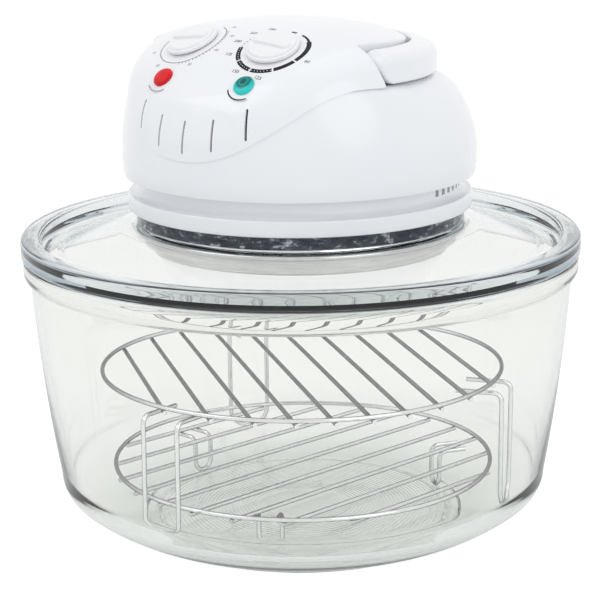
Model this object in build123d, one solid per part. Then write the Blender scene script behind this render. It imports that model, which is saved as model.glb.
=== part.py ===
from build123d import *
from math import atan2, cos, degrees, hypot, radians, sin, sqrt, tan
import os

# Halogen oven: a glass bowl with two wire racks under a lift-off glass lid that
# carries the heating head. Millimetres. +Z is up, the control panel faces -Y, and
# the origin is the centre of the bowl's foot ring. Plan angles run from the front
# (-Y) towards +X.

# ---- driving dimensions -------------------------------------------------------
seat_gap = 0.3            # between pieces that rest on or line up with each other
weld_gap = 0.05           # between welded wires
run_gap = 0.06            # radial play of a shaft or pin in its hole

# glass bowl
foot_r = 101.0            # outside of the foot ring
foot_width = 9.0
foot_h = 2.5
floor_r = 92.0            # flat part of the floor inside
floor_z = 11.0
belly_mid_r = 127.0       # outside, halfway up the rounded bottom
belly_mid_z = 12.5
belly_end_r = 145.0       # outside, where the bottom turns into the wall
belly_end_z = 24.5
base_glass = 7.4          # glass in the rounded bottom
knee_rise = 13.5          # height of the tight bend under the wall
knee_out = 6.0
wall_mid_out = 1.6        # how far the wall bulges at mid height
bowl_mouth_r = 165.5      # outside of the wall just under the rim
bowl_h = 175.0
wall_glass = 4.3
bowl_rim_h = 13.0
bowl_rim_out = 4.0        # how far the rim bead stands out

# racks
wire_r = 1.4
high_ring_r = 123.8
high_ring_z = 102.2
high_wire_pitch = 22.2
high_wire_count = 10
high_wire_angle = 142.0    # direction of the cross wires in plan
low_ring_r = 118.0
low_ring_z = 40.5
low_wire_pitch = 25.4
low_wire_count = 9
low_wire_angle = 82.0
wire_overhang = 1.0       # cross wires past the middle of their ring
high_leg_r = 124.0
high_leg_width = 24.0
high_leg_reach = 22.0     # how far a leg's top runs inwards
high_leg_angles = (-1.0, 110.0, 234.5)
low_leg_r = 90.0
low_leg_width = 14.0
low_leg_reach = 18.0
low_leg_angles = (24.0, 144.0, 264.0)
leg_bend_r = 5.0

# glass lid
lid_overhang = 5.1        # the lid's rim beyond the bowl's wall
lid_rim_h = 12.0
lid_rim_round = 5.0
lid_rim_width = 12.0      # rolled rim, from its outside to its inner edge
lid_ledge_drop = 5.0
lid_slope_width = 5.6     # from the rim's inner edge down to the trough
lid_trough_width = 7.0    # lowest ring of the lid
lid_trough_z = 177.8
lid_dome_sag = 0.15       # hollow of the dome's slope below a straight cone
lid_shoulder_out = 9.5    # the dome's inner edge beyond the flat land round the hole
lid_shoulder_z = 191.3
lid_bend = 0.3            # how far the bend between dome and land bulges
lid_land_width = 3.2
lid_land_z = 194.6
lid_glass = 4.2
lid_hole_r = 98.3
neck_z = 203.0            # underside of the head's base ring

# heater drum and what hangs in it
drum_r = 93.5
drum_sheet = 1.0
drum_bottom_z = 176.5
drum_lip = 6.0
seal_out = 1.4            # the seal's rim over the glass round the hole
clamp_t = 1.8
clamp_r = 101.0
reflector_r = 88.0
reflector_rise = 3.2
reflector_t = 0.6
reflector_fan_gap = 3.0
lamp_ring_r = 66.0
lamp_tube_r = 5.0
lamp_z = 187.5
lamp_sweep = 320.0
lamp_cap_r = 6.5
lamp_clip_angles = (80.0, 180.0, 280.0)
clip_w = 8.0
clip_t = 3.0
guard_r = 88.5
guard_t = 1.2
guard_bar = 3.0
guard_rings = 7
guard_ribs = 8
hot_fan_r = 52.0
hot_fan_blades = 10
hot_fan_h = 9.0
hot_fan_z = 184.0
hot_fan_hub_r = 7.0
hot_fan_sheet = 1.0

# base ring of the head
base_r = 104.3
base_band_h = 10.5
base_cove_h = 3.5
base_wall = 3.0
neck_in = 6.8             # the neck inside the band
neck_r = base_r - neck_in
neck_top_z = 226.0
flange_w = 20.3
flange_in_r = base_r - flange_w
flange_t = 3.0
vent_count = 55
vent_first = 89.0
vent_w = 3.2
vent_h = 5.0
vent_z = 219.0

# head envelope: radius and forward lean grow less and more with height
skirt_z = 223.4
skirt_r = 106.0
belly_r = 107.2
belly_z = 234.0
lean_z = 290.0            # height at which the two values below apply
shrink = 18.0
lean = 13.0
shrink_power = 2.1
envelope_top = 322.0
envelope_steps = 5
shell_wall = 2.5
deck_z = 284.5
deck_hole_r = 60.0
deck_slot = 80.0          # the hole runs out to the front this wide
screw_in = 4.0            # the cover's screws outside the hole
shell_floor_in_r = neck_r + 0.4

# control cover
cover_proud = 0.7
crown_r = 300.0           # crosswise radius of the panel
crown_top_z = 317.0
seam_front_y = -107.0     # seam in side view, from the front up to the shelf
seam_front_z = 244.5
seam_rise = ((-96.0, 258.5), (-85.0, 269.5), (-72.0, 279.0), (-57.0, 283.9))
seam_back_y = -45.0
panel_front_y = -117.0    # side view of the panel: steep front, nose, brow, ridge and back
panel_front_z = 252.0
panel_nose_y = -100.0
panel_nose_z = 277.5
panel_nose_round = 10.0
panel_brow_y = -61.0
panel_brow_z = 316.5
panel_brow_round = 100.0
panel_ridge_y = 20.0
panel_ridge_z = 315.8
panel_ridge_round = 250.0
panel_back_y = 130.0
panel_back_z = 289.5
cover_edge_fillet = 8.0
slit_angles = (-21.0, -10.7, -0.4, 10.3, 21.6)
slit_bottoms = (258.5, 250.6, 248.2, 250.9, 258.2)
slit_h = 16.5
slit_w = 1.4

# carry handle
handle_centre_y = -13.0
handle_r = 90.0
handle_w = 15.5           # width of its band
handle_in_r = handle_r - handle_w
handle_z0 = 285.4
handle_drop = 1.0         # the handle's top under the panel's form
handle_edge = 5.0         # rounding round the outside of its top
handle_gap = 2.8          # between cover and handle
pivot_y = -25.0
pivot_pin_r = 2.5
pivot_end_r = 9.4         # rounded front ends of the handle's arms
pin_cover = 7.0           # handle left outside a pin's end
finger_wall_y = 50.0      # flat back of the cover, which leaves room for fingers
boss_r = 6.0

# safety switch under the handle's right arm, and cord inlet in the back
plunger_r = 2.2
plunger_back = 13.0       # behind the pivot
plunger_depth = 12.0      # well for the plunger in the switch
switch_length = 20.0
switch_w = 10.0
switch_h = 16.0
switch_in = 7.0           # switch's middle inwards of its plunger
inlet_r = 6.5
inlet_flange = 2.0
inlet_bore_r = 3.5
inlet_z = 238.0

# knobs, lamps and their places on the panel
dial_x = 30.0
dial_y = -62.0
knob_r = 15.5
knob_h = 3.6
knob_skirt_h = 1.6
knob_edge = 1.4
grip_w = 6.5
grip_h = 1.8
lens_x = 30.0
lens_y = -88.6
lens_r = 6.4
lens_out = 2.0
neon_r = 4.5              # lamp body behind a lens, and its glass tip
neon_h = 12.0
neon_tip = 3.0
shaft_r = 3.0
mech_w = 34.0
mech_h = 17.0
mech_neck = 2.0           # threaded neck that holds a mechanism off the crowned panel

# motor
motor_shaft_r = 3.0
motor_shaft_top = 256.0
cool_fan_r = 53.0
cool_fan_z = 210.5
cool_fan_h = 9.0
cool_fan_blades = 7
cool_fan_hub_r = 8.0
cool_fan_sheet = 1.6
shield_r = neck_r - base_wall - 0.5
shield_t = 1.0
cutout_angle = 300.0
cutout_at_r = 76.0
cutout_r = 8.0
cutout_h = 10.0
terminal_at_r = 80.0
terminal_pitch = 10.0
terminal_w = 11.0
terminal_h = 8.0
post_x = 61.0
post_y = 11.0
post_r = 3.5
bracket_z = 227.0
bracket_t = 1.6
core_w = 48.0
core_front = 20.0
core_back = 44.0
core_h = 18.0
rotor_r = 14.0
rotor_air = 0.4
coil_window = 13.0
coil_half = 13.0
coil_swell = 6.0
leg_t = 7.0
bearing_r = 7.0
bearing_h = 4.0

# screw heads
screw_r = 3.0
screw_h = 2.0
screw_slot = 0.8

DOWN = (Align.CENTER, Align.CENTER, Align.MIN)


# ---- small helpers ------------------------------------------------------------
def turn(*lines):
    """Turn a closed outline, drawn as radius and height, about the vertical axis."""
    return revolve(Plane.XZ * make_face(Curve() + list(lines)), Axis.Z)


def tube(r_out, r_in, z0, z1):
    """A plain round ring between two heights."""
    body = Pos(0, 0, z0) * Cylinder(r_out, z1 - z0, align=DOWN)
    return body - Pos(0, 0, z0) * Cylinder(r_in, z1 - z0, align=DOWN)


def rod(p0, p1, radius):
    """A straight round bar between two points."""
    line = Line(p0, p1)
    return extrude(Plane(origin=p0, z_dir=line % 0) * Circle(radius), line.length)


def at_angle(angle, radius, z=0):
    """A point at a plan angle from the front, a radius and a height."""
    return (radius * sin(radians(angle)), -radius * cos(radians(angle)), z)


def circle_through(p, q, r):
    """Centre and radius of the circle through three points of an outline."""
    (ax, ay), (bx, by), (cx, cy) = p, q, r
    d = 2 * (ax * (by - cy) + bx * (cy - ay) + cx * (ay - by))
    sa, sb, sc = ax * ax + ay * ay, bx * bx + by * by, cx * cx + cy * cy
    ux = (sa * (by - cy) + sb * (cy - ay) + sc * (ay - by)) / d
    uy = (sa * (cx - bx) + sb * (ax - cx) + sc * (bx - ax)) / d
    return ux, uy, hypot(ax - ux, ay - uy)


# ---- glass bowl ---------------------------------------------------------------
bowl_seat_z = bowl_h - bowl_rim_h
knee_top_r = belly_end_r + knee_out
knee_top_z = belly_end_z + knee_rise
wall_mid_r = (knee_top_r + bowl_mouth_r) / 2 + wall_mid_out
wall_mid_z = (knee_top_z + bowl_seat_z) / 2

# inside of the rounded bottom: floor edge, middle and end of one arc
inner_floor = (floor_r, floor_z)
inner_mid = (belly_mid_r - 0.25 * base_glass, belly_mid_z + 1.05 * base_glass)
inner_end = (belly_end_r - 0.75 * base_glass, belly_end_z + 0.7 * base_glass)


def foot_centre(radius):
    """Height of a wire's centre where it rests on the inside of the bowl."""
    lift = wire_r + seat_gap
    if radius <= floor_r:
        return floor_z + lift
    cx, cz, big = circle_through(inner_floor, inner_mid, inner_end)
    return cz - sqrt((big - lift) ** 2 - (radius - cx) ** 2)


def glass_bowl():
    """Pressed glass bowl: foot ring, thick rounded bottom, leaning wall and rim bead."""
    foot_in = foot_r - foot_width
    knee = (belly_end_r + 0.72 * knee_out, belly_end_z + 0.42 * knee_rise)
    bead_r = bowl_mouth_r + bowl_rim_out
    mouth_in = bowl_mouth_r - wall_glass
    bead = 3.5
    top_in = (knee_top_r - wall_glass, knee_top_z + 0.35 * knee_rise)
    knee_in = (inner_end[0] + 0.6 * (top_in[0] - inner_end[0]),
               inner_end[1] + 0.42 * (top_in[1] - inner_end[1]))
    return turn(
        Line((0, foot_h), (foot_in - 2, foot_h)),
        Line((foot_in - 2, foot_h), (foot_in, 0)),
        Line((foot_in, 0), (foot_r - 2, 0)),
        Line((foot_r - 2, 0), (foot_r, foot_h)),
        ThreePointArc((foot_r, foot_h), (belly_mid_r, belly_mid_z),
                      (belly_end_r, belly_end_z)),
        ThreePointArc((belly_end_r, belly_end_z), knee, (knee_top_r, knee_top_z)),
        ThreePointArc((knee_top_r, knee_top_z), (wall_mid_r, wall_mid_z),
                      (bowl_mouth_r, bowl_seat_z)),
        ThreePointArc((bowl_mouth_r, bowl_seat_z), (bead_r - 1, bowl_seat_z + 2),
                      (bead_r, bowl_seat_z + bead + 1)),
        Line((bead_r, bowl_seat_z + bead + 1), (bead_r, bowl_h - bead)),
        ThreePointArc((bead_r, bowl_h - bead), (bead_r - 1, bowl_h - 1), (bead_r - bead, bowl_h)),
        Line((bead_r - bead, bowl_h), (mouth_in + 1.5, bowl_h)),
        ThreePointArc((mouth_in + 1.5, bowl_h), (mouth_in + 0.4, bowl_h - 0.5),
                      (mouth_in, bowl_h - 2)),
        ThreePointArc((mouth_in, bowl_h - 2), (wall_mid_r - wall_glass, wall_mid_z), top_in),
        ThreePointArc(top_in, knee_in, inner_end),
        ThreePointArc(inner_end, inner_mid, inner_floor),
        Line(inner_floor, (0, floor_z)),
        Line((0, floor_z), (0, foot_h)),
    )


# ---- wire racks ---------------------------------------------------------------
def rack_ring(radius, z):
    """The round outer wire of a rack."""
    return Pos(0, 0, z) * Torus(radius, wire_r)


def cross_wires(radius, z, pitch, count, direction):
    """Straight parallel wires welded under a rack's ring."""
    wires = []
    for i in range(count):
        offset = (i - (count - 1) / 2) * pitch
        half = sqrt(radius ** 2 - offset ** 2) + wire_overhang
        wires.append(Rot(0, 0, direction) * rod((-half, offset, z), (half, offset, z), wire_r))
    return Compound(children=wires)


def rack_leg(radius, top_z, foot_z, width, reach, bend):
    """One bent wire: in under the rack, down, round the U foot and back up."""
    half = width / 2
    side = [(reach, half, top_z), (0, half, top_z), (0, half, foot_z),
            (0, -half, foot_z), (0, -half, top_z), (reach, -half, top_z)]
    path = FilletPolyline(*side, radius=[bend, half - 0.01, half - 0.01, bend])
    leg = sweep(Plane(origin=side[0], z_dir=(-1, 0, 0)) * Circle(wire_r), path)
    return Pos(-radius, 0, 0) * leg


def rack_legs(radius, ring_z, width, reach, angles):
    """Three U legs under the cross wires, standing on the bowl's inside."""
    top_z = ring_z - 4 * wire_r - 2 * weld_gap
    leg = rack_leg(radius, top_z, foot_centre(radius), width, reach, leg_bend_r)
    return Compound(children=[Rot(0, 0, a + 90) * leg for a in angles])


# ---- glass lid ----------------------------------------------------------------
lid_seat_z = bowl_h + seat_gap
lid_top_z = lid_seat_z + lid_rim_h


def glass_lid():
    """Pressed glass lid: rolled rim, trough, shallow dome and a flat land round the hole."""
    lid_r = bowl_mouth_r + lid_overhang
    rim_mid_z = lid_seat_z + lid_rim_round
    ledge_r = lid_r - lid_rim_width
    ledge_z = lid_top_z - lid_ledge_drop
    trough_out = ledge_r - lid_slope_width
    trough_in = trough_out - lid_trough_width
    land_r = lid_hole_r + lid_land_width
    land_low = lid_land_z - lid_glass
    shoulder_r = land_r + lid_shoulder_out
    bend_r = (land_r + shoulder_r) / 2
    bend_z = (lid_land_z + lid_shoulder_z) / 2 + lid_bend
    dome_r = (trough_in + shoulder_r) / 2
    dome_z = (lid_trough_z + lid_shoulder_z) / 2 - lid_dome_sag
    step_r = bowl_mouth_r - wall_glass - 2
    return turn(
        Line((step_r, lid_seat_z), (lid_r - lid_rim_round, lid_seat_z)),
        ThreePointArc((lid_r - lid_rim_round, lid_seat_z), (lid_r - 0.3 * lid_rim_round,
                      lid_seat_z + 0.3 * lid_rim_round), (lid_r, rim_mid_z)),
        ThreePointArc((lid_r, rim_mid_z), (lid_r - 1.8, lid_top_z - 1.6), (lid_r - 6, lid_top_z)),
        ThreePointArc((lid_r - 6, lid_top_z), (ledge_r + 2, lid_top_z - 1.4),
                      (ledge_r, ledge_z)),
        Line((ledge_r, ledge_z), (trough_out, lid_trough_z)),
        Line((trough_out, lid_trough_z), (trough_in, lid_trough_z)),
        ThreePointArc((trough_in, lid_trough_z), (dome_r, dome_z),
                      (shoulder_r, lid_shoulder_z)),
        ThreePointArc((shoulder_r, lid_shoulder_z), (bend_r, bend_z), (land_r, lid_land_z)),
        Line((land_r, lid_land_z), (lid_hole_r, lid_land_z)),
        Line((lid_hole_r, lid_land_z), (lid_hole_r, land_low)),
        Line((lid_hole_r, land_low), (land_r, land_low)),
        ThreePointArc((land_r, land_low), (bend_r, bend_z - lid_glass),
                      (shoulder_r, lid_shoulder_z - lid_glass)),
        ThreePointArc((shoulder_r, lid_shoulder_z - lid_glass),
                      (dome_r, dome_z - lid_glass),
                      (trough_in, lid_trough_z - lid_glass)),
        Line((trough_in, lid_trough_z - lid_glass), (step_r - 1, lid_trough_z - lid_glass)),
        Line((step_r - 1, lid_trough_z - lid_glass), (step_r, lid_seat_z)),
    )


# ---- drum, seal, lamp and guard -----------------------------------------------
drum_top_z = neck_z - seat_gap
roof_z = drum_top_z - drum_sheet - seat_gap
reflector_mouth = hot_fan_r + reflector_fan_gap
lip_z = drum_bottom_z + 1
shaft_hole_r = 9.0


def heater_drum():
    """Spun steel can, open below, with a turned-in lip round its mouth."""
    inner = drum_r - drum_sheet
    lip_in = drum_r - drum_lip
    lip_top = lip_z + drum_sheet
    return turn(
        Line((lip_in, lip_z), (lip_in, lip_top)),
        Line((lip_in, lip_top), (inner - 0.5, lip_top)),
        Line((inner - 0.5, lip_top), (inner, lip_top + 1)),
        Line((inner, lip_top + 1), (inner, drum_top_z - drum_sheet)),
        Line((inner, drum_top_z - drum_sheet), (shaft_hole_r, drum_top_z - drum_sheet)),
        Line((shaft_hole_r, drum_top_z - drum_sheet), (shaft_hole_r, drum_top_z)),
        Line((shaft_hole_r, drum_top_z), (drum_r, drum_top_z)),
        Line((drum_r, drum_top_z), (drum_r, drum_bottom_z + 2)),
        ThreePointArc((drum_r, drum_bottom_z + 2), (drum_r - 0.6, drum_bottom_z + 0.6),
                      (drum_r - 2, drum_bottom_z)),
        Line((drum_r - 2, drum_bottom_z), (lip_in, lip_z)),
    )


def lid_seal():
    """Dark seal between the glass round the lid's hole and the head's base ring."""
    return tube(lid_hole_r + seal_out, drum_r + seat_gap, lid_land_z + seat_gap, neck_z - seat_gap)


def clamp_ring():
    """Bright ring on the drum that holds the lid's glass from below."""
    top = lid_land_z - lid_glass - seat_gap
    return tube(clamp_r, drum_r + seat_gap, top - clamp_t, top)


def reflector():
    """Shallow polished dish under the drum's roof, open in the middle for the air."""
    rim_z = roof_z - reflector_rise
    return turn(Polyline((reflector_mouth, roof_z), (reflector_r, rim_z),
                         (reflector_r, rim_z - reflector_t),
                         (reflector_mouth, roof_z - reflector_t), close=True))


def reflector_under(radius):
    """Height just under the reflector at a radius."""
    drop = reflector_rise * (radius - reflector_mouth) / (reflector_r - reflector_mouth)
    return roof_z - drop - reflector_t - seat_gap


def halogen_lamp():
    """Quartz tube bent to an open ring, its gap at the front."""
    gap = 360 - lamp_sweep
    path = CenterArc((0, 0, lamp_z), lamp_ring_r, gap / 2 - 90, lamp_sweep)
    return sweep(Plane(origin=path @ 0, z_dir=path % 0) * Circle(lamp_tube_r), path)


def lamp_end_caps():
    """Ceramic ends that carry the lamp's two tips and stand up to the roof."""
    top = reflector_under(lamp_ring_r + lamp_cap_r)
    bottom = lamp_z - lamp_tube_r
    tip = (360 - lamp_sweep) / 2
    centre = tip - degrees((lamp_cap_r + seat_gap) / lamp_ring_r)
    cap = Cylinder(lamp_cap_r, top - bottom, align=DOWN)
    return Compound(children=[Pos(*at_angle(side * centre, lamp_ring_r, bottom)) * cap
                              for side in (-1, 1)])


def lamp_clips():
    """Sheet hangers from the roof that hold the quartz tube from above."""
    top = reflector_under(lamp_ring_r + clip_w / 2)
    bottom = lamp_z + lamp_tube_r + seat_gap
    strap = Pos(0, -lamp_ring_r, bottom) * Box(clip_t, clip_w, top - bottom, align=DOWN)
    return Compound(children=[Rot(0, 0, a) * strap for a in lamp_clip_angles])


def fan_guard():
    """Pressed steel guard: flat rings joined by radial ribs, on the drum's lip."""
    z = lip_z + drum_sheet + seat_gap
    step = (guard_r - guard_bar) / guard_rings
    plate = Pos(0, 0, z) * Cylinder(step / 2, guard_t, align=DOWN)
    for i in range(1, guard_rings + 1):
        r = i * step + guard_bar
        plate += tube(r, r - guard_bar, z, z + guard_t)
    for i in range(guard_ribs):
        rib = Pos(guard_r / 2, 0, z) * Box(guard_r - 1, guard_bar, guard_t, align=DOWN)
        plate += Rot(0, 0, i * 360 / guard_ribs) * rib
    return plate


# ---- fans, shaft and motor ----------------------------------------------------
bracket_top = bracket_z + bracket_t
core_z = bracket_top + seat_gap
core_top = core_z + core_h
upper_z = core_top + seat_gap
shield_z = neck_z + flange_t + seat_gap
shield_top = shield_z + shield_t


def blade_wheel(radius, z, height, blades, hub_r, sheet):
    """A hub on the shaft, a disc and upright blades."""
    wheel = Pos(0, 0, z) * Cylinder(hub_r, height, align=DOWN)
    wheel += Pos(0, 0, z) * Cylinder(0.55 * radius, sheet, align=DOWN)
    length = radius - hub_r + 1
    blade = Pos(hub_r - 1 + length / 2, 0, z) * Box(length, sheet, height, align=DOWN)
    keep = Pos(0, 0, z) * Cylinder(radius, height, align=DOWN)
    for i in range(blades):
        wheel += (Rot(0, 0, i * 360 / blades) * blade) & keep
    return wheel - Pos(0, 0, z - 1) * Cylinder(motor_shaft_r + weld_gap, height + 2, align=DOWN)


def convection_fan():
    """Steel wheel inside the lamp ring that drives the hot air."""
    return blade_wheel(hot_fan_r, hot_fan_z, hot_fan_h, hot_fan_blades,
                       hot_fan_hub_r, hot_fan_sheet)


def cooling_fan():
    """Plastic wheel above the heat shield that blows through the neck's vents."""
    return blade_wheel(cool_fan_r, cool_fan_z, cool_fan_h, cool_fan_blades,
                       cool_fan_hub_r, cool_fan_sheet)


def motor_shaft():
    """Steel shaft through both fans, both bearings and the rotor."""
    bottom = hot_fan_z - 1.5
    return Pos(0, 0, bottom) * Cylinder(motor_shaft_r, motor_shaft_top - bottom, align=DOWN)


def motor_rotor():
    """Rotor on the shaft, inside the core's bore."""
    return tube(rotor_r - rotor_air, motor_shaft_r + weld_gap, core_z + 0.5, core_top - 0.5)


def motor_core():
    """Stack of laminations with the rotor's bore and the coil's window."""
    middle = (core_back - core_front) / 2
    block = Pos(0, middle, core_z) * Box(core_w, core_front + core_back, core_h, align=DOWN)
    window_y = core_back - leg_t - coil_window / 2
    window = Pos(0, window_y, core_z) * Box(2 * coil_half + 1, coil_window, core_h, align=DOWN)
    bore = Pos(0, 0, core_z) * Cylinder(rotor_r, core_h, align=DOWN)
    return block - window - bore


def motor_coil():
    """Coil wound round the core's back leg."""
    y0 = core_back - leg_t - coil_window + 1
    y1 = core_back + coil_swell + 2
    middle_z = core_z + core_h / 2
    body = Pos(0, (y0 + y1) / 2, middle_z) * Box(2 * coil_half, y1 - y0, core_h + 2 * coil_swell)
    body = fillet(body.edges().filter_by(Axis.Z), 3)
    leg = Box(4 * coil_half, leg_t + 2 * seat_gap, core_h + 2 * seat_gap)
    return body - Pos(0, core_back - leg_t / 2, middle_z) * leg


def motor_brackets():
    """Two straps with the shaft's bearings, under and over the core."""
    hole = Pos(0, 0, bracket_z - 20) * Cylinder(motor_shaft_r + run_gap, 80, align=DOWN)
    lower = Pos(0, 0, bracket_z) * Box(2 * (post_x + 6), 2 * (post_y + 6), bracket_t, align=DOWN)
    lower += Pos(0, 0, bracket_z - bearing_h) * Cylinder(bearing_r, bearing_h, align=DOWN)
    upper = Pos(0, 0, upper_z) * Box(core_w - 6, 2 * (post_y + 3), bracket_t, align=DOWN)
    upper += Pos(0, 0, upper_z + bracket_t) * Cylinder(bearing_r, bearing_h, align=DOWN)
    return Compound(children=[lower - hole, upper - hole])


def motor_posts():
    """Four posts between the heat shield and the lower bracket."""
    post = Cylinder(post_r, bracket_z - shield_top, align=DOWN)
    spots = [(x, y) for x in (-post_x, post_x) for y in (-post_y, post_y)]
    return Compound(children=[Pos(x, y, shield_top) * post for x, y in spots])


def screw(point, normal=(0, 0, 1)):
    """Pan head of a screw that sits on a face."""
    head = extrude(Circle(screw_r), screw_h)
    head -= Pos(0, 0, screw_h) * Box(2 * screw_r, screw_slot, 2 * screw_slot)
    return Plane(origin=point, z_dir=normal) * head


def motor_screws():
    """Screw heads on the lower bracket over its posts."""
    spots = [(x, y) for x in (-post_x, post_x) for y in (-post_y, post_y)]
    return Compound(children=[screw((x, y, bracket_top + weld_gap)) for x, y in spots])


def heat_shield():
    """Plate between the hot drum and the parts above it."""
    return tube(shield_r, shaft_hole_r, shield_z, shield_top)


def thermal_cutout():
    """Round safety thermostat on the heat shield."""
    spot = Pos(*at_angle(cutout_angle, cutout_at_r, shield_top + weld_gap))
    cap = Pos(0, 0, cutout_h / 2) * Cylinder(0.7 * cutout_r, cutout_h / 2, align=DOWN)
    return spot * (Cylinder(cutout_r, cutout_h / 2, align=DOWN) + cap)


def terminal_block():
    """Row of three terminals on the heat shield, by the cord inlet."""
    spot = Pos(*at_angle(180, terminal_at_r, shield_top + weld_gap))
    block = Box(3 * terminal_pitch, terminal_w, terminal_h, align=DOWN)
    for x in (-terminal_pitch, 0, terminal_pitch):
        block += Pos(x, 0, terminal_h) * Box(terminal_pitch - 3, terminal_w - 3, 5, align=DOWN)
        block -= Pos(x, 0, terminal_h + 2) * Cylinder(2, 5, align=DOWN)
    return spot * block


# ---- white mouldings of the head ----------------------------------------------
def base_ring():
    """Neck of the head: band on the lid, hollow cove and a neck with vent slots."""
    outer = base_r - base_wall
    inner = neck_r - base_wall
    band_top = neck_z + base_band_h
    flange_top = neck_z + flange_t
    cove_z = band_top + base_cove_h
    ring = turn(
        Line((flange_in_r, neck_z), (base_r - 0.6, neck_z)),
        Line((base_r - 0.6, neck_z), (base_r, neck_z + 0.8)),
        Line((base_r, neck_z + 0.8), (base_r, band_top - 1)),
        ThreePointArc((base_r, band_top - 1), (neck_r + 2.2, band_top + 1.2), (neck_r, cove_z)),
        Line((neck_r, cove_z), (neck_r, neck_top_z)),
        Line((neck_r, neck_top_z), (inner, neck_top_z)),
        Line((inner, neck_top_z), (inner, cove_z - 1)),
        Line((inner, cove_z - 1), (outer, band_top - base_wall)),
        Line((outer, band_top - base_wall), (outer, flange_top)),
        Line((outer, flange_top), (flange_in_r, flange_top)),
        Line((flange_in_r, flange_top), (flange_in_r, neck_z)),
    )
    pitch = (360 - 2 * vent_first) / (vent_count - 1)
    slot = Box(vent_w, 4 * base_wall, vent_h)
    slot = Pos(0, -neck_r, vent_z) * slot
    return ring - [Rot(0, 0, vent_first + i * pitch) * slot for i in range(vent_count)]


def section(z, inset):
    """Round section of the head at a height: it shrinks and leans forward as it rises."""
    if z < belly_z:
        under = (belly_z - z) / (belly_z - skirt_z)
        return Pos(0, 0, z) * Circle(belly_r - (belly_r - skirt_r) * under ** 2 - inset)
    grow = ((z - belly_z) / (lean_z - belly_z)) ** shrink_power
    return Pos(0, -lean * grow, z) * Circle(belly_r - shrink * grow - inset)


def envelope(inset, bottom, top, steps):
    """Outer form of the head between two heights, a little inside or outside its skin."""
    return loft([section(bottom + (top - bottom) * i / steps, inset) for i in range(steps + 1)])


def panel_barrel(inset):
    """Everything under the crowned panel, turned about a low axis along Y."""
    axis_z = crown_top_z - crown_r
    top = FilletPolyline(
        (panel_front_y + 0.83 * inset, panel_front_z - 0.55 * inset),
        (panel_nose_y + 0.77 * inset, panel_nose_z - 0.64 * inset),
        (panel_brow_y + 0.42 * inset, panel_brow_z - inset),
        (panel_ridge_y, panel_ridge_z - inset),
        (panel_back_y, panel_back_z - inset),
        radius=[panel_nose_round - inset, panel_brow_round - inset, panel_ridge_round - inset])
    start, end = top @ 0, top @ 1
    foot = Polyline((end.X, end.Y), (end.X, axis_z), (start.X, axis_z), (start.X, start.Y))
    outline = Plane.YZ * make_face(Curve() + [top, foot])
    return revolve(outline, Axis((0, 0, axis_z), (0, 1, 0)))


def brow_centre():
    """Centre of the round brow, on which the dials and lenses sit, in side view."""
    steep = atan2(panel_brow_z - panel_nose_z, panel_brow_y - panel_nose_y)
    flat = atan2(panel_ridge_z - panel_brow_z, panel_ridge_y - panel_brow_y)
    reach = panel_brow_round * tan((steep - flat) / 2)
    y = panel_brow_y - reach * cos(steep) + panel_brow_round * sin(steep)
    z = panel_brow_z - reach * sin(steep) - panel_brow_round * cos(steep)
    return y, z


def panel_frame(x, y, lift=0.0):
    """Frame on the panel's brow: origin on its surface, Z along the outward normal."""
    axis_z = crown_top_z - crown_r
    mid_y, mid_z = brow_centre()
    rise = sqrt(panel_brow_round ** 2 - (y - mid_y) ** 2)
    rho = mid_z + rise - axis_z
    height = sqrt(rho ** 2 - x ** 2)
    normal = Vector(x / rho, (y - mid_y) / rise, height / rho).normalized()
    origin = Vector(x, y, axis_z + height) + normal * lift
    return Plane(origin=origin, x_dir=(1, 0, -x / height), z_dir=normal)


def seam_block(lift):
    """Everything above the seam between the shell and the control cover."""
    reach = 1.4 * belly_r
    above = envelope_top + 20
    first = (seam_front_y - 9, seam_front_z - 10.5 + lift)
    middle = [(y, z + lift) for y, z in ((seam_front_y, seam_front_z), *seam_rise)]
    last = (seam_back_y, deck_z + lift)
    curve = Spline(first, *middle, last, tangents=[(0.6, 0.8), (1, 0)])
    rest = Polyline(last, (reach, last[1]), (reach, above), (first[0], above), first)
    outline = Plane.YZ * make_face(Curve() + [curve, rest])
    return extrude(outline, reach, both=True)


def half_behind(y):
    """The space behind a plane across the head."""
    reach = 3 * belly_r
    return Pos(0, y + reach / 2, deck_z) * Box(reach, reach, reach)


def cover_form(inset):
    """Form of the control cover, its back stepped in to make room for the handle."""
    body = envelope(inset - cover_proud, belly_z, envelope_top, envelope_steps)
    body &= panel_barrel(inset)
    rim = body.edges().filter_by(GeomType.BSPLINE)
    rim = rim.filter_by_position(Axis.Z, belly_z + 20, envelope_top)
    body = fillet(rim, cover_edge_fillet - inset)
    keep_r = handle_in_r - handle_gap - inset
    keep = Pos(0, handle_centre_y, neck_z) * Cylinder(keep_r, envelope_top - neck_z, align=DOWN)
    keep -= half_behind(finger_wall_y - inset)
    return body - (half_behind(pivot_y - pivot_end_r - seat_gap - inset) - keep)


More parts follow.
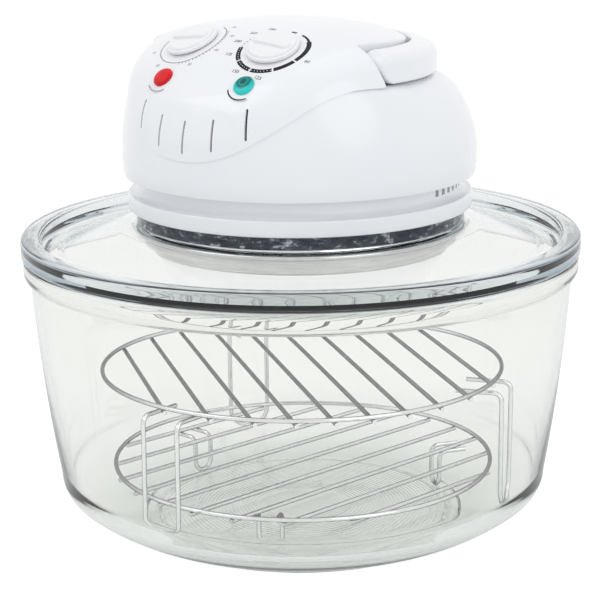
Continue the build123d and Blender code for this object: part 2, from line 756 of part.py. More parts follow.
def control_cover():
    """Sloping panel moulding with five front slits, two dial holes and two lamp holes."""
    cover = (cover_form(0) & seam_block(seat_gap)) - cover_form(shell_wall)
    for angle, bottom in zip(slit_angles, slit_bottoms):
        place = Rot(0, 0, angle) * Pos(0, -belly_r, bottom + slit_h / 2)
        cover -= place * Box(slit_w, 30, slit_h)
    for side in (-1, 1):
        cover -= panel_frame(side * dial_x, dial_y) * Cylinder(shaft_r + 1, 20)
        cover -= panel_frame(side * lens_x, lens_y) * Cylinder(lens_r + seat_gap / 3, 20)
        inner = side_x(handle_in_r - handle_gap, 0) - shell_wall
        outer = side_x(handle_in_r, boss_r) - seat_gap
        place = Pos(side * (inner + outer) / 2, pivot_y, pivot_z) * Rot(0, 90, 0)
        cover += place * Cylinder(boss_r, outer - inner)
        cover -= place * Cylinder(pivot_pin_r + weld_gap, 3 * (outer - inner))
    return cover


def head_shell():
    """Rounded body shell between the neck and the cover, with a shelf for the handle."""
    shell = envelope(0, skirt_z, deck_z, envelope_steps) - seam_block(0)
    shell -= envelope(shell_wall, skirt_z + shell_wall, deck_z - shell_wall, envelope_steps)
    shell -= Pos(0, 0, deck_z) * Cylinder(deck_hole_r, 20)
    shell -= Pos(0, -deck_hole_r, deck_z) * Box(2 * (deck_hole_r + 6), deck_slot, 20)
    shell -= Pos(0, 0, skirt_z) * Cylinder(shell_floor_in_r, 20)
    shell -= inlet_place() * Cylinder(inlet_r, 30)
    return shell - plunger_place() * Cylinder(plunger_r + run_gap, 30)


# ---- handle, pins and safety switch -------------------------------------------
pivot_z = handle_z0 + pivot_end_r
plunger_y = pivot_y + plunger_back
switch_top_z = deck_z - shell_wall - seat_gap
switch_well_z = switch_top_z - plunger_depth


def side_x(radius, forward):
    """Half width of a round about the handle's centre, some way forward of the pivot."""
    return sqrt(radius ** 2 - (handle_centre_y - pivot_y + forward) ** 2)


def plunger_place():
    """Where the safety switch's plunger comes up through the shelf, under the right arm."""
    return Pos(side_x((handle_in_r + handle_r) / 2, pivot_y - plunger_y), plunger_y, deck_z)


def inlet_place():
    """Frame of the cord inlet in the back of the shell."""
    return Pos(0, belly_r - 1, inlet_z) * Rot(90, 0, 0)


def handle():
    """Carry handle: a band round the back of the cover with two rounded arm ends."""
    top = pivot_z + pivot_end_r
    band = Pos(0, handle_centre_y, handle_z0) * Cylinder(handle_r, top - handle_z0, align=DOWN)
    band &= panel_barrel(handle_drop)
    rim = band.edges().filter_by_position(Axis.Z, handle_z0 + 1, top - 0.5)
    band = fillet(rim, handle_edge)
    bore = Cylinder(handle_in_r, envelope_top - handle_z0, align=DOWN)
    band -= Pos(0, handle_centre_y, handle_z0 - 1) * bore
    ends = Pos(0, pivot_y, pivot_z) * Rot(0, 90, 0) * Cylinder(pivot_end_r, 3 * handle_r)
    band &= half_behind(pivot_y) + ends
    hole = Rot(0, 90, 0) * Cylinder(pivot_pin_r + run_gap, 2 * (handle_r - pin_cover + 1))
    return band - Pos(0, pivot_y, pivot_z) * hole


def handle_pins():
    """Two pivot pins, fast in the cover's bosses."""
    inner = side_x(handle_in_r - handle_gap, 0) - shell_wall - 1
    outer = handle_r - pin_cover
    pin = Rot(0, 90, 0) * Cylinder(pivot_pin_r, outer - inner)
    middle = (inner + outer) / 2
    return Compound(children=[Pos(side * middle, pivot_y, pivot_z) * pin for side in (-1, 1)])


def safety_switch():
    """Microswitch under the shelf that cuts the current when the handle is up."""
    x = plunger_place().position.X
    place = Pos(x - switch_in, plunger_y, switch_top_z - switch_h)
    well = Pos(x, plunger_y, switch_well_z) * Cylinder(plunger_r + run_gap, switch_h, align=DOWN)
    return place * Box(switch_length, switch_w, switch_h, align=DOWN) - well


def switch_plunger():
    """Small plunger that the handle's arm holds down."""
    bottom = switch_well_z + seat_gap
    place = Pos(plunger_place().position.X, plunger_y, bottom)
    return place * Cylinder(plunger_r, handle_z0 - seat_gap - bottom, align=DOWN)


def cord_inlet():
    """Grommet in the back wall where the supply cord would enter."""
    ring = Cylinder(inlet_r + 2, inlet_flange) + Pos(0, 0, -3) * Cylinder(inlet_r - seat_gap / 3, 6)
    place = Pos(0, belly_r + inlet_flange / 2 + seat_gap, inlet_z) * Rot(-90, 0, 0)
    return place * (ring - Cylinder(inlet_bore_r, 20))


# ---- knobs, lenses and what they work on ---------------------------------------
def knob(side):
    """Round knob with a low skirt and a grip bar across its top."""
    body = Cylinder(knob_r, knob_skirt_h, align=DOWN)
    body += Pos(0, 0, knob_skirt_h) * Cylinder(knob_r - 1.5, knob_h - knob_skirt_h, align=DOWN)
    body = fillet(body.edges().group_by(Axis.Z)[-1], knob_edge)
    grip = Pos(0, 0, knob_h - 1) * Box(2 * knob_r - 5, grip_w, grip_h + 1, align=DOWN)
    body += fillet(grip.edges().filter_by(Axis.Z), 2.5)
    body -= Cylinder(shaft_r + weld_gap, knob_h, align=DOWN)
    return panel_frame(side * dial_x, dial_y, seat_gap) * body


def shaft(side):
    """Shaft from the mechanism up into its knob."""
    below = shell_wall + mech_neck + 4
    frame = panel_frame(side * dial_x, dial_y, -below)
    return frame * Cylinder(shaft_r, below + knob_h - 1, align=DOWN)


def mechanism(side, width, height):
    """Housing of a timer or thermostat, on the inside of the panel."""
    frame = panel_frame(side * dial_x, dial_y, -shell_wall - seat_gap - mech_neck - height)
    body = fillet(Box(width, width, height, align=DOWN).edges().filter_by(Axis.Z), 3)
    body += Pos(0, 0, height) * Cylinder(shaft_r + 2, mech_neck, align=DOWN)
    return frame * (body - Pos(0, 0, height - 6) * Cylinder(shaft_r + run_gap, 20, align=DOWN))


def lens(side):
    """Domed coloured lens of an indicator lamp."""
    body = Pos(0, 0, -shell_wall) * Cylinder(lens_r, shell_wall + lens_out, align=DOWN)
    body = fillet(body.edges().group_by(Axis.Z)[-1], lens_out - 0.3)
    return panel_frame(side * lens_x, lens_y) * body


def indicator_lamps():
    """Small neon lamps in sockets behind the lenses."""
    lamp = Cylinder(neon_r, neon_h, align=DOWN)
    lamp += Pos(0, 0, neon_h) * Cylinder(neon_tip, neon_tip, align=DOWN)
    drop = shell_wall + seat_gap + neon_h + neon_tip
    spots = [panel_frame(side * lens_x, lens_y, -drop) for side in (-1, 1)]
    return Compound(children=[spot * lamp for spot in spots])


def cover_screws():
    """Screws on the shelf's edge that hold the cover's back."""
    z = deck_z - shell_wall - weld_gap
    spots = [at_angle(a, deck_hole_r + screw_in, z) for a in (150, 210)]
    return Compound(children=[screw(p, (0, 0, -1)) for p in spots])


def drum_screws():
    """Screws through the base ring's flange into the drum's roof."""
    z = neck_z + flange_t + weld_gap
    at_r = base_r - 6.5
    return Compound(children=[screw(at_angle(a, at_r, z)) for a in (45, 135, 225, 315)])


# ---- export --------------------------------------------------------------------
parts = {
    "glass_bowl": glass_bowl(),
    "low_rack_ring": rack_ring(low_ring_r, low_ring_z),
    "low_rack_wires": cross_wires(low_ring_r, low_ring_z - 2 * wire_r - weld_gap,
                                  low_wire_pitch, low_wire_count, low_wire_angle),
    "low_rack_legs": rack_legs(low_leg_r, low_ring_z, low_leg_width, -low_leg_reach, low_leg_angles),
    "high_rack_ring": rack_ring(high_ring_r, high_ring_z),
    "high_rack_wires": cross_wires(high_ring_r, high_ring_z - 2 * wire_r - weld_gap,
                                   high_wire_pitch, high_wire_count, high_wire_angle),
    "high_rack_legs": rack_legs(high_leg_r, high_ring_z, high_leg_width, high_leg_reach,
                                high_leg_angles),
    "glass_lid": glass_lid(),
    "lid_seal": lid_seal(),
    "clamp_ring": clamp_ring(),
    "heater_drum": heater_drum(),
    "reflector": reflector(),
    "halogen_lamp": halogen_lamp(),
    "lamp_end_caps": lamp_end_caps(),
    "lamp_clips": lamp_clips(),
    "fan_guard": fan_guard(),
    "convection_fan": convection_fan(),
    "motor_shaft": motor_shaft(),
    "motor_rotor": motor_rotor(),
    "cooling_fan": cooling_fan(),
    "motor_core": motor_core(),
    "motor_coil": motor_coil(),
    "motor_brackets": motor_brackets(),
    "motor_posts": motor_posts(),
    "motor_screws": motor_screws(),
    "heat_shield": heat_shield(),
    "thermal_cutout": thermal_cutout(),
    "terminal_block": terminal_block(),
    "base_ring": base_ring(),
    "head_shell": head_shell(),
    "control_cover": control_cover(),
    "handle": handle(),
    "handle_pins": handle_pins(),
    "safety_switch": safety_switch(),
    "switch_plunger": switch_plunger(),
    "cord_inlet": cord_inlet(),
    "timer_knob": knob(-1),
    "timer_shaft": shaft(-1),
    "timer_mechanism": mechanism(-1, mech_w, mech_h),
    "thermostat_knob": knob(1),
    "thermostat_shaft": shaft(1),
    "thermostat": mechanism(1, mech_w - 4, mech_h - 3),
    "power_lens": lens(-1),
    "heat_lens": lens(1),
    "indicator_lamps": indicator_lamps(),
    "cover_screws": cover_screws(),
    "drum_screws": drum_screws(),
}

os.makedirs("parts", exist_ok=True)
for name, solid in parts.items():
    export_step(solid, f"parts/{name}.step")
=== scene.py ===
import math

import bmesh
import bpy
import numpy as np
from mathutils import Matrix, Vector


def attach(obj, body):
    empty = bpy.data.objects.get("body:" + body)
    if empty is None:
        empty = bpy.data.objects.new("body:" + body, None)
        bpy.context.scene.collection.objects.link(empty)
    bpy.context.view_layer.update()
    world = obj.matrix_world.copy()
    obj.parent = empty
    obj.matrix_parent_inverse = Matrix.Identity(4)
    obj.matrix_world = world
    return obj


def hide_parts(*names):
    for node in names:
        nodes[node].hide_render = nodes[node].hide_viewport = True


# Halogen oven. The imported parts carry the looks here. Shapes are worked out in
# millimetres and become metres when a mesh is made. Plan angles run from the front
# (-Y) towards +X, as the parts' do.

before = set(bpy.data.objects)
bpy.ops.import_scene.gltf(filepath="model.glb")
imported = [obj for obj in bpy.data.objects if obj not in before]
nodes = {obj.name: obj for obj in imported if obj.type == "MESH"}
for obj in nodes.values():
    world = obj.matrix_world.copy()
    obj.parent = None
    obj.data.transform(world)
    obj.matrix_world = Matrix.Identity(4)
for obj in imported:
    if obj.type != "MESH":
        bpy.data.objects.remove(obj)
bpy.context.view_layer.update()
MM = 0.001


def add_object(name, data):
    """An object in the scene's collection."""
    item = bpy.data.objects.new(name, data)
    bpy.context.scene.collection.objects.link(item)
    return item


# ---- camera ------------------------------------------------------------------------
def add_camera():
    """Camera at 38 degrees from the front, looking down by 15 degrees."""
    azimuth, roll = math.radians(38.0), math.radians(-0.59)
    away, height, aim_z = 1.2556, 0.4552, 0.120
    data = bpy.data.cameras.new("view")
    data.sensor_width = 36.0
    data.lens = 125.58
    data.shift_x = -0.0028
    data.shift_y = 0.0555
    data.clip_start = 0.05
    camera = add_object("view", data)
    place = Vector((away * math.sin(azimuth), -away * math.cos(azimuth), height))
    aim = (Vector((0, 0, aim_z)) - place).to_track_quat("-Z", "Y").to_matrix().to_4x4()
    camera.matrix_world = Matrix.Translation(place) @ aim @ Matrix.Rotation(roll, 4, "Z")
    bpy.context.scene.camera = camera


# ---- mesh helpers ------------------------------------------------------------------
def mesh_piece(name, verts, faces, material, body, replaced=(), sharp=40.0):
    """A smooth shaded piece from millimetre points and a list of faces."""
    mesh = bpy.data.meshes.new(name)
    mesh.from_pydata((np.asarray(verts, float) * MM).tolist(), [], faces)
    mesh.validate()
    mesh.materials.append(material)
    piece = add_object(name, mesh)
    mesh.polygons.foreach_set("use_smooth", np.ones(len(mesh.polygons), bool))
    mesh.set_sharp_from_angle(angle=math.radians(sharp))
    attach(piece, body)
    if replaced:
        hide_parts(*replaced)
    return piece


def grid_faces(rows, cols, wrap_cols=False, wrap_rows=False, keep=None):
    """Quads of a grid of points stored row by row; wrapped ways close on themselves."""
    i = np.arange(rows if wrap_rows else rows - 1)
    j = np.arange(cols if wrap_cols else cols - 1)
    i, j = np.meshgrid(i, j, indexing="ij")
    i2, j2 = (i + 1) % rows, (j + 1) % cols
    quads = np.stack([i * cols + j, i * cols + j2, i2 * cols + j2, i2 * cols + j], -1)
    if keep is not None:
        quads = quads[keep[: quads.shape[0], : quads.shape[1]]]
    return quads.reshape(-1, 4).tolist()


def add_modifier(piece, kind, **values):
    """A live modifier with the given settings."""
    modifier = piece.modifiers.new(kind.lower(), kind)
    for key, value in values.items():
        setattr(modifier, key, value)
    return modifier


def settle(piece):
    """Works the piece's modifiers into its mesh."""
    graph = bpy.context.evaluated_depsgraph_get()
    done = bpy.data.meshes.new_from_object(piece.evaluated_get(graph))
    old = piece.data
    piece.modifiers.clear()
    piece.data = done
    bpy.data.meshes.remove(old)


def read(items, field, kind=float):
    """Rows of three numbers of one attribute of a mesh's items."""
    flat = np.empty(3 * len(items), kind)
    items.foreach_get(field, flat)
    return flat.reshape(-1, 3)


def circle_through(p, q, r):
    """Centre and radius of the circle through three flat points."""
    (ax, ay), (bx, by), (cx, cy) = p, q, r
    d = 2 * (ax * (by - cy) + bx * (cy - ay) + cx * (ay - by))
    sa, sb, sc = ax * ax + ay * ay, bx * bx + by * by, cx * cx + cy * cy
    ux = (sa * (by - cy) + sb * (cy - ay) + sc * (ay - by)) / d
    uy = (sa * (cx - bx) + sb * (ax - cx) + sc * (bx - ax)) / d
    return ux, uy, math.hypot(ax - ux, ay - uy)


def arc(p, q, r, n=12):
    """Points of the circle through p, q and r, from p to r, without the last one."""
    ux, uy, radius = circle_through(p, q, r)
    a0, a1, a2 = (math.atan2(y - uy, x - ux) for x, y in (p, q, r))
    turn = (a2 - a0) % (2 * math.pi)
    if (a1 - a0) % (2 * math.pi) > turn:
        turn -= 2 * math.pi
    t = a0 + turn * np.arange(n) / n
    return np.stack([ux + radius * np.cos(t), uy + radius * np.sin(t)], -1)


def run(p, q, n=1):
    """Evenly spaced points from p towards q, without the last one."""
    t = (np.arange(n) / n)[:, None]
    return np.asarray(p, float) * (1 - t) + np.asarray(q, float) * t


def trace(start, *legs):
    """Outline from a start through legs of n points each: (end, n) is a straight leg and
    (via, end, n) an arc. The end of the last leg is left out."""
    parts = []
    for *via, end, n in legs:
        parts.append(arc(start, *via, end, n) if via else run(start, end, n))
        start = end
    return np.concatenate(parts)


def lathe(name, outline, material, body, replaced=(), turns=256, sharp=40.0):
    """Outline of radius and height turned about the vertical axis. The outline closes on
    itself, or where it starts and ends on the axis by one point at each end."""
    t = 2 * np.pi * np.arange(turns) / turns
    on_axis = outline[:, 0] < 1e-6
    ring = outline[~on_axis]
    verts = np.stack([ring[:, None, 0] * np.cos(t), ring[:, None, 0] * np.sin(t),
                      np.repeat(ring[:, 1:2], turns, 1)], -1).reshape(-1, 3)
    faces = grid_faces(len(ring), turns, wrap_cols=True, wrap_rows=not on_axis.any())
    if on_axis.any():
        poles = outline[on_axis]
        flat = np.zeros(len(poles))
        verts = np.concatenate([verts, np.stack([flat, flat, poles[:, 1]], -1)])
        j, k = np.arange(turns), (np.arange(turns) + 1) % turns
        first, last = len(ring) * turns, (len(ring) - 1) * turns
        top = first + len(poles) - 1
        faces += np.stack([np.full(turns, first), k, j], -1).tolist()
        faces += np.stack([np.full(turns, top), last + j, last + k], -1).tolist()
    piece = mesh_piece(name, verts, faces, material, body, replaced, sharp)
    outwards(piece)
    return piece


def outwards(piece):
    """Turns a closed piece right side out by the sign of its volume."""
    mesh = piece.data
    mesh.calc_loop_triangles()
    p = read(mesh.vertices, "co")[read(mesh.loop_triangles, "vertices", np.int32)]
    if np.einsum("ij,ij->i", p[:, 0], np.cross(p[:, 1], p[:, 2])).sum() < 0:
        mesh.flip_normals()


def wire(path, radius, sides=12, closed=False):
    """Round bar along a path: rings of points square to it, capped where it is open."""
    path = np.asarray(path, float)
    if closed:
        ahead = np.roll(path, -1, 0) - np.roll(path, 1, 0)
    else:
        ahead = np.gradient(path, axis=0)
    ahead /= np.linalg.norm(ahead, axis=1)[:, None]
    helper = np.where(np.abs(ahead[:, 2:3]) > 0.9, [[1.0, 0, 0]], [[0, 0, 1.0]])
    side = np.cross(ahead, helper)
    for k in range(1, len(path)):
        side[k] = side[k - 1] - ahead[k] * (side[k - 1] @ ahead[k])
        side[k] /= np.linalg.norm(side[k])
    side[0] /= np.linalg.norm(side[0])
    other = np.cross(side, ahead)
    t = 2 * np.pi * np.arange(sides) / sides
    rings = (path[:, None] + radius * (np.cos(t)[None, :, None] * side[:, None]
                                       + np.sin(t)[None, :, None] * other[:, None]))
    verts = rings.reshape(-1, 3)
    faces = grid_faces(len(path), sides, wrap_cols=True, wrap_rows=closed)
    if not closed:
        faces += [list(range(sides))[::-1], [(len(path) - 1) * sides + j for j in range(sides)]]
    return verts, faces


def merged(shapes):
    """Several (points, faces) shapes as one."""
    verts, faces, start = [], [], 0
    for v, f in shapes:
        verts.append(np.asarray(v, float))
        faces += [[start + k for k in face] for face in f]
        start += len(v)
    return np.concatenate(verts), faces


def rounded_path(points, radii, n=8):
    """Straight runs whose corners are arcs of the given radii."""
    points = [np.asarray(p, float) for p in points]
    out = [points[0]]
    for a, b, c, radius in zip(points, points[1:], points[2:], radii):
        u, v = (a - b) / np.linalg.norm(a - b), (c - b) / np.linalg.norm(c - b)
        half = math.acos(max(-1, min(1, u @ v))) / 2
        mid = (u + v) / np.linalg.norm(u + v)
        centre = b + mid * radius / math.sin(half)
        s, e = b + u * radius / math.tan(half), b + v * radius / math.tan(half)
        sweep = math.pi - 2 * half
        for t in np.linspace(0, 1, n):
            p, q = s - centre, e - centre
            share_p, share_q = math.sin((1 - t) * sweep), math.sin(t * sweep)
            out.append(centre + (share_p * p + share_q * q) / math.sin(sweep))
    out.append(points[-1])
    return np.array(out)


def polar(angle, radius, z=0.0):
    """Point at a plan angle from the front, a radius and a height."""
    a = math.radians(angle)
    return np.array([radius * math.sin(a), -radius * math.cos(a), z])


# ---- materials ---------------------------------------------------------------------
def add_node(tree, kind, inputs=None, **settings):
    """A shader node with its settings; each input takes a constant or another node's
    output."""
    node = tree.nodes.new("ShaderNode" + kind)
    for key, value in settings.items():
        setattr(node, key, value)
    for key, value in (inputs or {}).items():
        if isinstance(value, bpy.types.NodeSocket):
            tree.links.new(value, node.inputs[key])
        else:
            node.inputs[key].default_value = value
    return node


def new_material(name):
    """An empty node material and its tree."""
    material = bpy.data.materials.new(name)
    material.use_nodes = True
    material.node_tree.nodes.clear()
    return material, material.node_tree


def principled(material, **values):
    """The material, finished with a Principled shader that has the given inputs."""
    tree = material.node_tree
    shader = add_node(tree, "BsdfPrincipled", {k.replace("_", " "): v for k, v in values.items()})
    add_node(tree, "OutputMaterial", {"Surface": shader.outputs["BSDF"]})
    return material


def object_place(tree, scale=(1, 1, 1)):
    """Object coordinates, scaled."""
    place = add_node(tree, "TexCoord").outputs["Object"]
    return add_node(tree, "Mapping", {"Vector": place, "Scale": scale}).outputs["Vector"]


def noise(tree, vector, scale, detail=3.0, roughness=0.5):
    """Noise value over a vector."""
    values = {"Vector": vector, "Scale": scale, "Detail": detail, "Roughness": roughness}
    return add_node(tree, "TexNoise", values).outputs["Fac"]


def ramp(tree, value, stops):
    """Colour ramp over a value; stops are (position, colour)."""
    node = add_node(tree, "ValToRGB", {"Fac": value})
    elements = node.color_ramp.elements
    for k, (position, colour) in enumerate(stops):
        stop = elements[k] if k < 2 else elements.new(position)
        stop.position = position
        stop.color = (*colour, 1.0)
    return node.outputs["Color"]


def bump(tree, height, strength, distance):
    """Normal with fine relief."""
    values = {"Height": height, "Strength": strength, "Distance": distance}
    return add_node(tree, "Bump", values).outputs["Normal"]


def between(tree, value, low, high):
    """Value from 0 to 1 carried to a range."""
    values = {"Value": value, "To Min": low, "To Max": high}
    return add_node(tree, "MapRange", values).outputs["Result"]


def maths(tree, operation, *values):
    """Result of a Math node over constants and outputs."""
    return add_node(tree, "Math", dict(enumerate(values)), operation=operation).outputs[0]


def mixed(tree, share, low, high):
    """Two shaders mixed by a share."""
    return add_node(tree, "MixShader", {"Fac": share, 1: low, 2: high}).outputs["Shader"]


def plastic(name, light, dark, roughness=0.22, grain=900.0, relief=0.05, coat=0.3):
    """Moulded plastic: slight cloudiness in the colour and gloss, very fine orange peel."""
    material, tree = new_material(name)
    vector = object_place(tree)
    cloud = noise(tree, vector, 14.0)
    return principled(
        material, Coat_Weight=coat, Coat_Roughness=0.06,
        Base_Color=ramp(tree, cloud, [(0.3, dark), (0.7, light)]),
        Roughness=between(tree, cloud, roughness * 0.8, roughness * 1.2),
        Normal=bump(tree, noise(tree, vector, grain, 2.0), relief, 0.0003))


def metal(name, light, dark, roughness, scale, stretch=(1, 1, 1), relief=0.1, edge=None):
    """Metal with streaks: noise stretched by the mapping colours, roughens and lifts it;
    an edge value paints shade into the colour, darker where it turns away from the eye,
    a painted dark reflection."""
    material, tree = new_material(name)
    streak = noise(tree, object_place(tree, stretch), scale, 4.0, 0.6)
    colour = ramp(tree, streak, [(0.25, dark), (0.75, light)])
    # Painted shade: the colour is multiplied darker where the surface turns away from the eye,
    # standing in for dark reflections on the edges.
    if edge is not None:
        facing = add_node(tree, "LayerWeight", {"Blend": 0.5}).outputs["Facing"]
        shade = ramp(tree, facing, [(0.30, (1, 1, 1)), (0.72, (edge, edge, edge * 1.1))])
        painted_edge_shade = add_node(tree, "Mix", {"Factor": 1.0, 6: colour, 7: shade},
                           data_type="RGBA", blend_type="MULTIPLY")
        colour = painted_edge_shade.outputs[2]
    return principled(
        material, Metallic=1.0, Base_Color=colour,
        Roughness=between(tree, streak, roughness * 0.7, roughness * 1.3),
        Normal=bump(tree, streak, relief, 0.0002))


def glass(name, wall, tint, density, depth=5.0):
    """Clear pressed glass: each wall takes a little light, long paths inside tint it,
    and light goes through to what it holds, also after many turns inside."""
    material, tree = new_material(name)
    waves = noise(tree, object_place(tree), 14.0, 1.0)
    solid = add_node(tree, "BsdfPrincipled", {
        "Base Color": wall, "Roughness": 0.0, "IOR": 1.5, "Transmission Weight": 1.0,
        "Normal": bump(tree, waves, 0.02, 0.001)})
    clear = add_node(tree, "BsdfTransparent", {"Color": (0.97, 0.98, 0.975, 1)})
    path = add_node(tree, "LightPath").outputs
    light = maths(tree, "MAXIMUM", path["Is Shadow Ray"], path["Is Diffuse Ray"])
    deep = maths(tree, "GREATER_THAN", path["Ray Depth"], depth)
    straight = maths(tree, "MAXIMUM", light, deep)
    absorb = add_node(tree, "VolumeAbsorption", {"Color": tint, "Density": density})
    add_node(tree, "OutputMaterial", {
        "Surface": mixed(tree, straight, solid.outputs["BSDF"], clear.outputs["BSDF"]),
        "Volume": absorb.outputs["Volume"]})
    return material


def ink(name, colour):
    """Printed ink with faint thin spots."""
    material, tree = new_material(name)
    spots = noise(tree, object_place(tree), 700.0, 2.0)
    pale = tuple(min(1.0, c * 1.25 + 0.01) for c in colour)
    return principled(material, Roughness=0.45, Specular_IOR_Level=0.12,
                      Base_Color=ramp(tree, spots, [(0.35, colour), (0.8, pale)]))


def lens_plastic(name, centre, rings):
    """Coloured lens: rings of colour round a centre, given as (radius in mm, colour),
    clouded a little and glossy. The darker and brighter rings are painted light and
    shade of a domed lens on its own hue."""
    material, tree = new_material(name)
    span, wander = 8.0, 1.6           # mm over the whole ramp, mm that noise adds at most
    place = add_node(tree, "TexCoord").outputs["Object"]
    away = add_node(tree, "VectorMath", {0: place, 1: [c * MM for c in centre]},
                    operation="DISTANCE").outputs["Value"]
    spread = maths(tree, "MULTIPLY_ADD", noise(tree, place, 500.0, 2.0), wander * MM, away)
    scaled = maths(tree, "MULTIPLY", spread, 1 / (span * MM))
    stops = [((r + wander / 2) / span, colour) for r, colour in rings]
    return principled(material, Roughness=0.07, Specular_IOR_Level=0.28,
                      Base_Color=ramp(tree, scaled, stops))


WHITE = plastic("white_plastic", (0.86, 0.87, 0.89), (0.83, 0.84, 0.865))
WHITE_SATIN = plastic("white_plastic_base", (0.84, 0.85, 0.87), (0.80, 0.81, 0.835), 0.2)
KNOB_WHITE = plastic("knob_plastic", (0.87, 0.87, 0.88), (0.84, 0.84, 0.855), 0.28)
GLASS = glass("bowl_glass_clear", (0.955, 0.955, 0.935, 1), (0.45, 0.52, 0.46, 1), 12.0, 7.0)
LID_GLASS = glass("lid_glass_clear", (0.985, 0.985, 0.975, 1), (0.12, 0.26, 0.36, 1), 12.0)
# Chrome wire: edge=0.03 paints shade on the wires' edges, a painted dark reflection.
CHROME = metal("chrome_wire", (0.90, 0.91, 0.92), (0.80, 0.81, 0.82), 0.08, 180.0, edge=0.03)
STEEL = metal("drum_steel", (0.78, 0.77, 0.75), (0.60, 0.60, 0.60), 0.24, 60.0, (1, 1, 14), 0.25)
BRIGHT = metal("bright_steel", (0.85, 0.85, 0.84), (0.74, 0.74, 0.74), 0.12, 90.0, (1, 1, 6), 0.1)
BLACK_INK = ink("black_print", (0.012, 0.012, 0.014))
GREY_INK = ink("grey_print", (0.30, 0.31, 0.34))
DIAL_X, DIAL_Y, LENS_X, LENS_Y, LENS_Z = 30.0, -62.0, 30.0, -88.6, 289.5
# Red lens: its own red, with a darker centre and brighter middle ring painted as light and shade.
RED_LENS = lens_plastic("red_lens_plastic", (-LENS_X, LENS_Y, LENS_Z), [
    (0.0, (0.50, 0.0, 0.0)), (3.2, (0.78, 0.0, 0.004)), (6.4, (0.62, 0.0, 0.004))])
# Green lens: its own teal, with a dark centre and bright rim painted as light and shade.
GREEN_LENS = lens_plastic("green_lens_plastic", (LENS_X, LENS_Y, LENS_Z), [
    (0.0, (0.0, 0.045, 0.045)), (1.9, (0.0, 0.13, 0.13)), (2.6, (0.0, 0.34, 0.31)),
    (3.8, (0.0, 0.10, 0.10)), (4.9, (0.0, 0.44, 0.41)), (6.4, (0.03, 0.60, 0.55))])


# ---- glass bowl and lid ------------------------------------------------------------
FLOOR_ARC = ((94.0, 9.0), (125.9, 18.0), (141.0, 28.8))   # end of the flat floor, turn up


def bowl():
    """Bowl outline from the axis under the floor, over the rim and back to the axis
    inside, turned to a closed wall. Fine rings are pressed into the underside."""
    under, rim, floor = 2.5, 175.0, FLOOR_ARC[0][1]
    ring_count, ring_depth, ring_start, ring_end = 24, 0.14, 30, 88
    t = np.linspace(0, 1, 4 * ring_count + 1)[:-1]
    waves = ring_depth * (1 - np.cos(2 * np.pi * ring_count * t)) / 2
    rings = np.stack([ring_start + (ring_end - ring_start) * t, under + waves], -1)
    (x0, z0), (x1, z1) = FLOOR_ARC[2], (146.7, 42.725)
    knee = (x0 + 0.6 * (x1 - x0), z0 + 0.42 * (z1 - z0))
    outline = [
        trace((0, under), ((8, under), 1), ((ring_start, under), 4)), rings,
        trace((ring_end, under), ((90, under), 1), ((92, 0.3), 2), ((92.6, 0), 1),
              ((98.4, 0), 2), ((99.4, 0.3), 1), ((101, under), 2),
              ((127, 12.5), (145, 24.5), 16), ((149.32, 30.17), (151, 38), 10),
              ((159.85, 100), (165.5, 162), 26), ((168.5, 164), (169.5, 166.5), 6),
              ((169.5, 171.5), 2), ((168.5, 174), (166, rim), 6), ((162.7, rim), 2),
              ((161.6, 174.5), (161.2, 173), 4), ((155.55, 100), (x1, z1), 28),
              (knee, (x0, z0), 10), (FLOOR_ARC[1], FLOOR_ARC[0], 16),
              ((8, floor), 10), ((0, floor), 1)),
        [(0, floor)],
    ]
    return lathe("bowl_glass", np.concatenate(outline), GLASS, "bowl", ["glass_bowl"], 320, 35.0)


def lid():
    """Lid outline: rolled rim, trough, shallow dome and flat land round the hole, turned
    to a closed wall."""
    foot, top, trough, under = 175.3, 187.3, 177.8, 173.6
    outline = trace(
        (159.2, foot), ((168.4, foot), 2), ((169.9, foot + 0.6), (170.6, foot + 2.2), 5),
        ((170.6, top - 3.2), 4), ((169.6, top - 0.9), (167.4, top - 0.05), 8),
        ((164.0, top), (161.0, top - 0.15), 4), ((159.3, top - 1.0), (158.6, top - 2.8), 6),
        ((158.2, top - 5), 2), ((153, trough), 4), ((146, trough), 3),
        ((128.5, 184.4), (111, 191.3), 16), ((106.25, 193.25), (101.5, 194.6), 6),
        ((98.9, 194.6), 2), ((98.3, 194.0), 1), ((98.3, 190.9), 3), ((98.8, 190.4), 1),
        ((101.5, 190.4), 2), ((106.25, 189.05), (111, 187.1), 6),
        ((128.5, 180.2), (146, under), 16), ((158.2, under), 4), ((159.2, foot), 2))
    return lathe("lid_glass", outline, LID_GLASS, "lid_head", ["glass_lid"], 320, 38.0)


# ---- racks -------------------------------------------------------------------------
WIRE = 1.4                # radius of every wire
RACKS = {
    "high_rack": dict(radius=123.8, z=102.2, pitch=22.2, count=10, direction=142.0,
                      leg_r=130.0, leg_w=26.0, reach=28.0, angles=(-1.0, 109.0, 234.5)),
    "low_rack": dict(radius=118.0, z=40.5, pitch=25.4, count=9, direction=82.0,
                     leg_r=90.0, leg_w=14.0, reach=-18.0, angles=(25.5, 145.5, 265.5)),
}


def foot_height(radius):
    """Height of a wire's centre where it rests on the bowl's inside."""
    lift = WIRE + 0.3
    if radius <= FLOOR_ARC[0][0]:
        return FLOOR_ARC[0][1] + lift
    across, up, big = circle_through(*FLOOR_ARC)
    return up - math.sqrt((big - lift) ** 2 - (radius - across) ** 2)


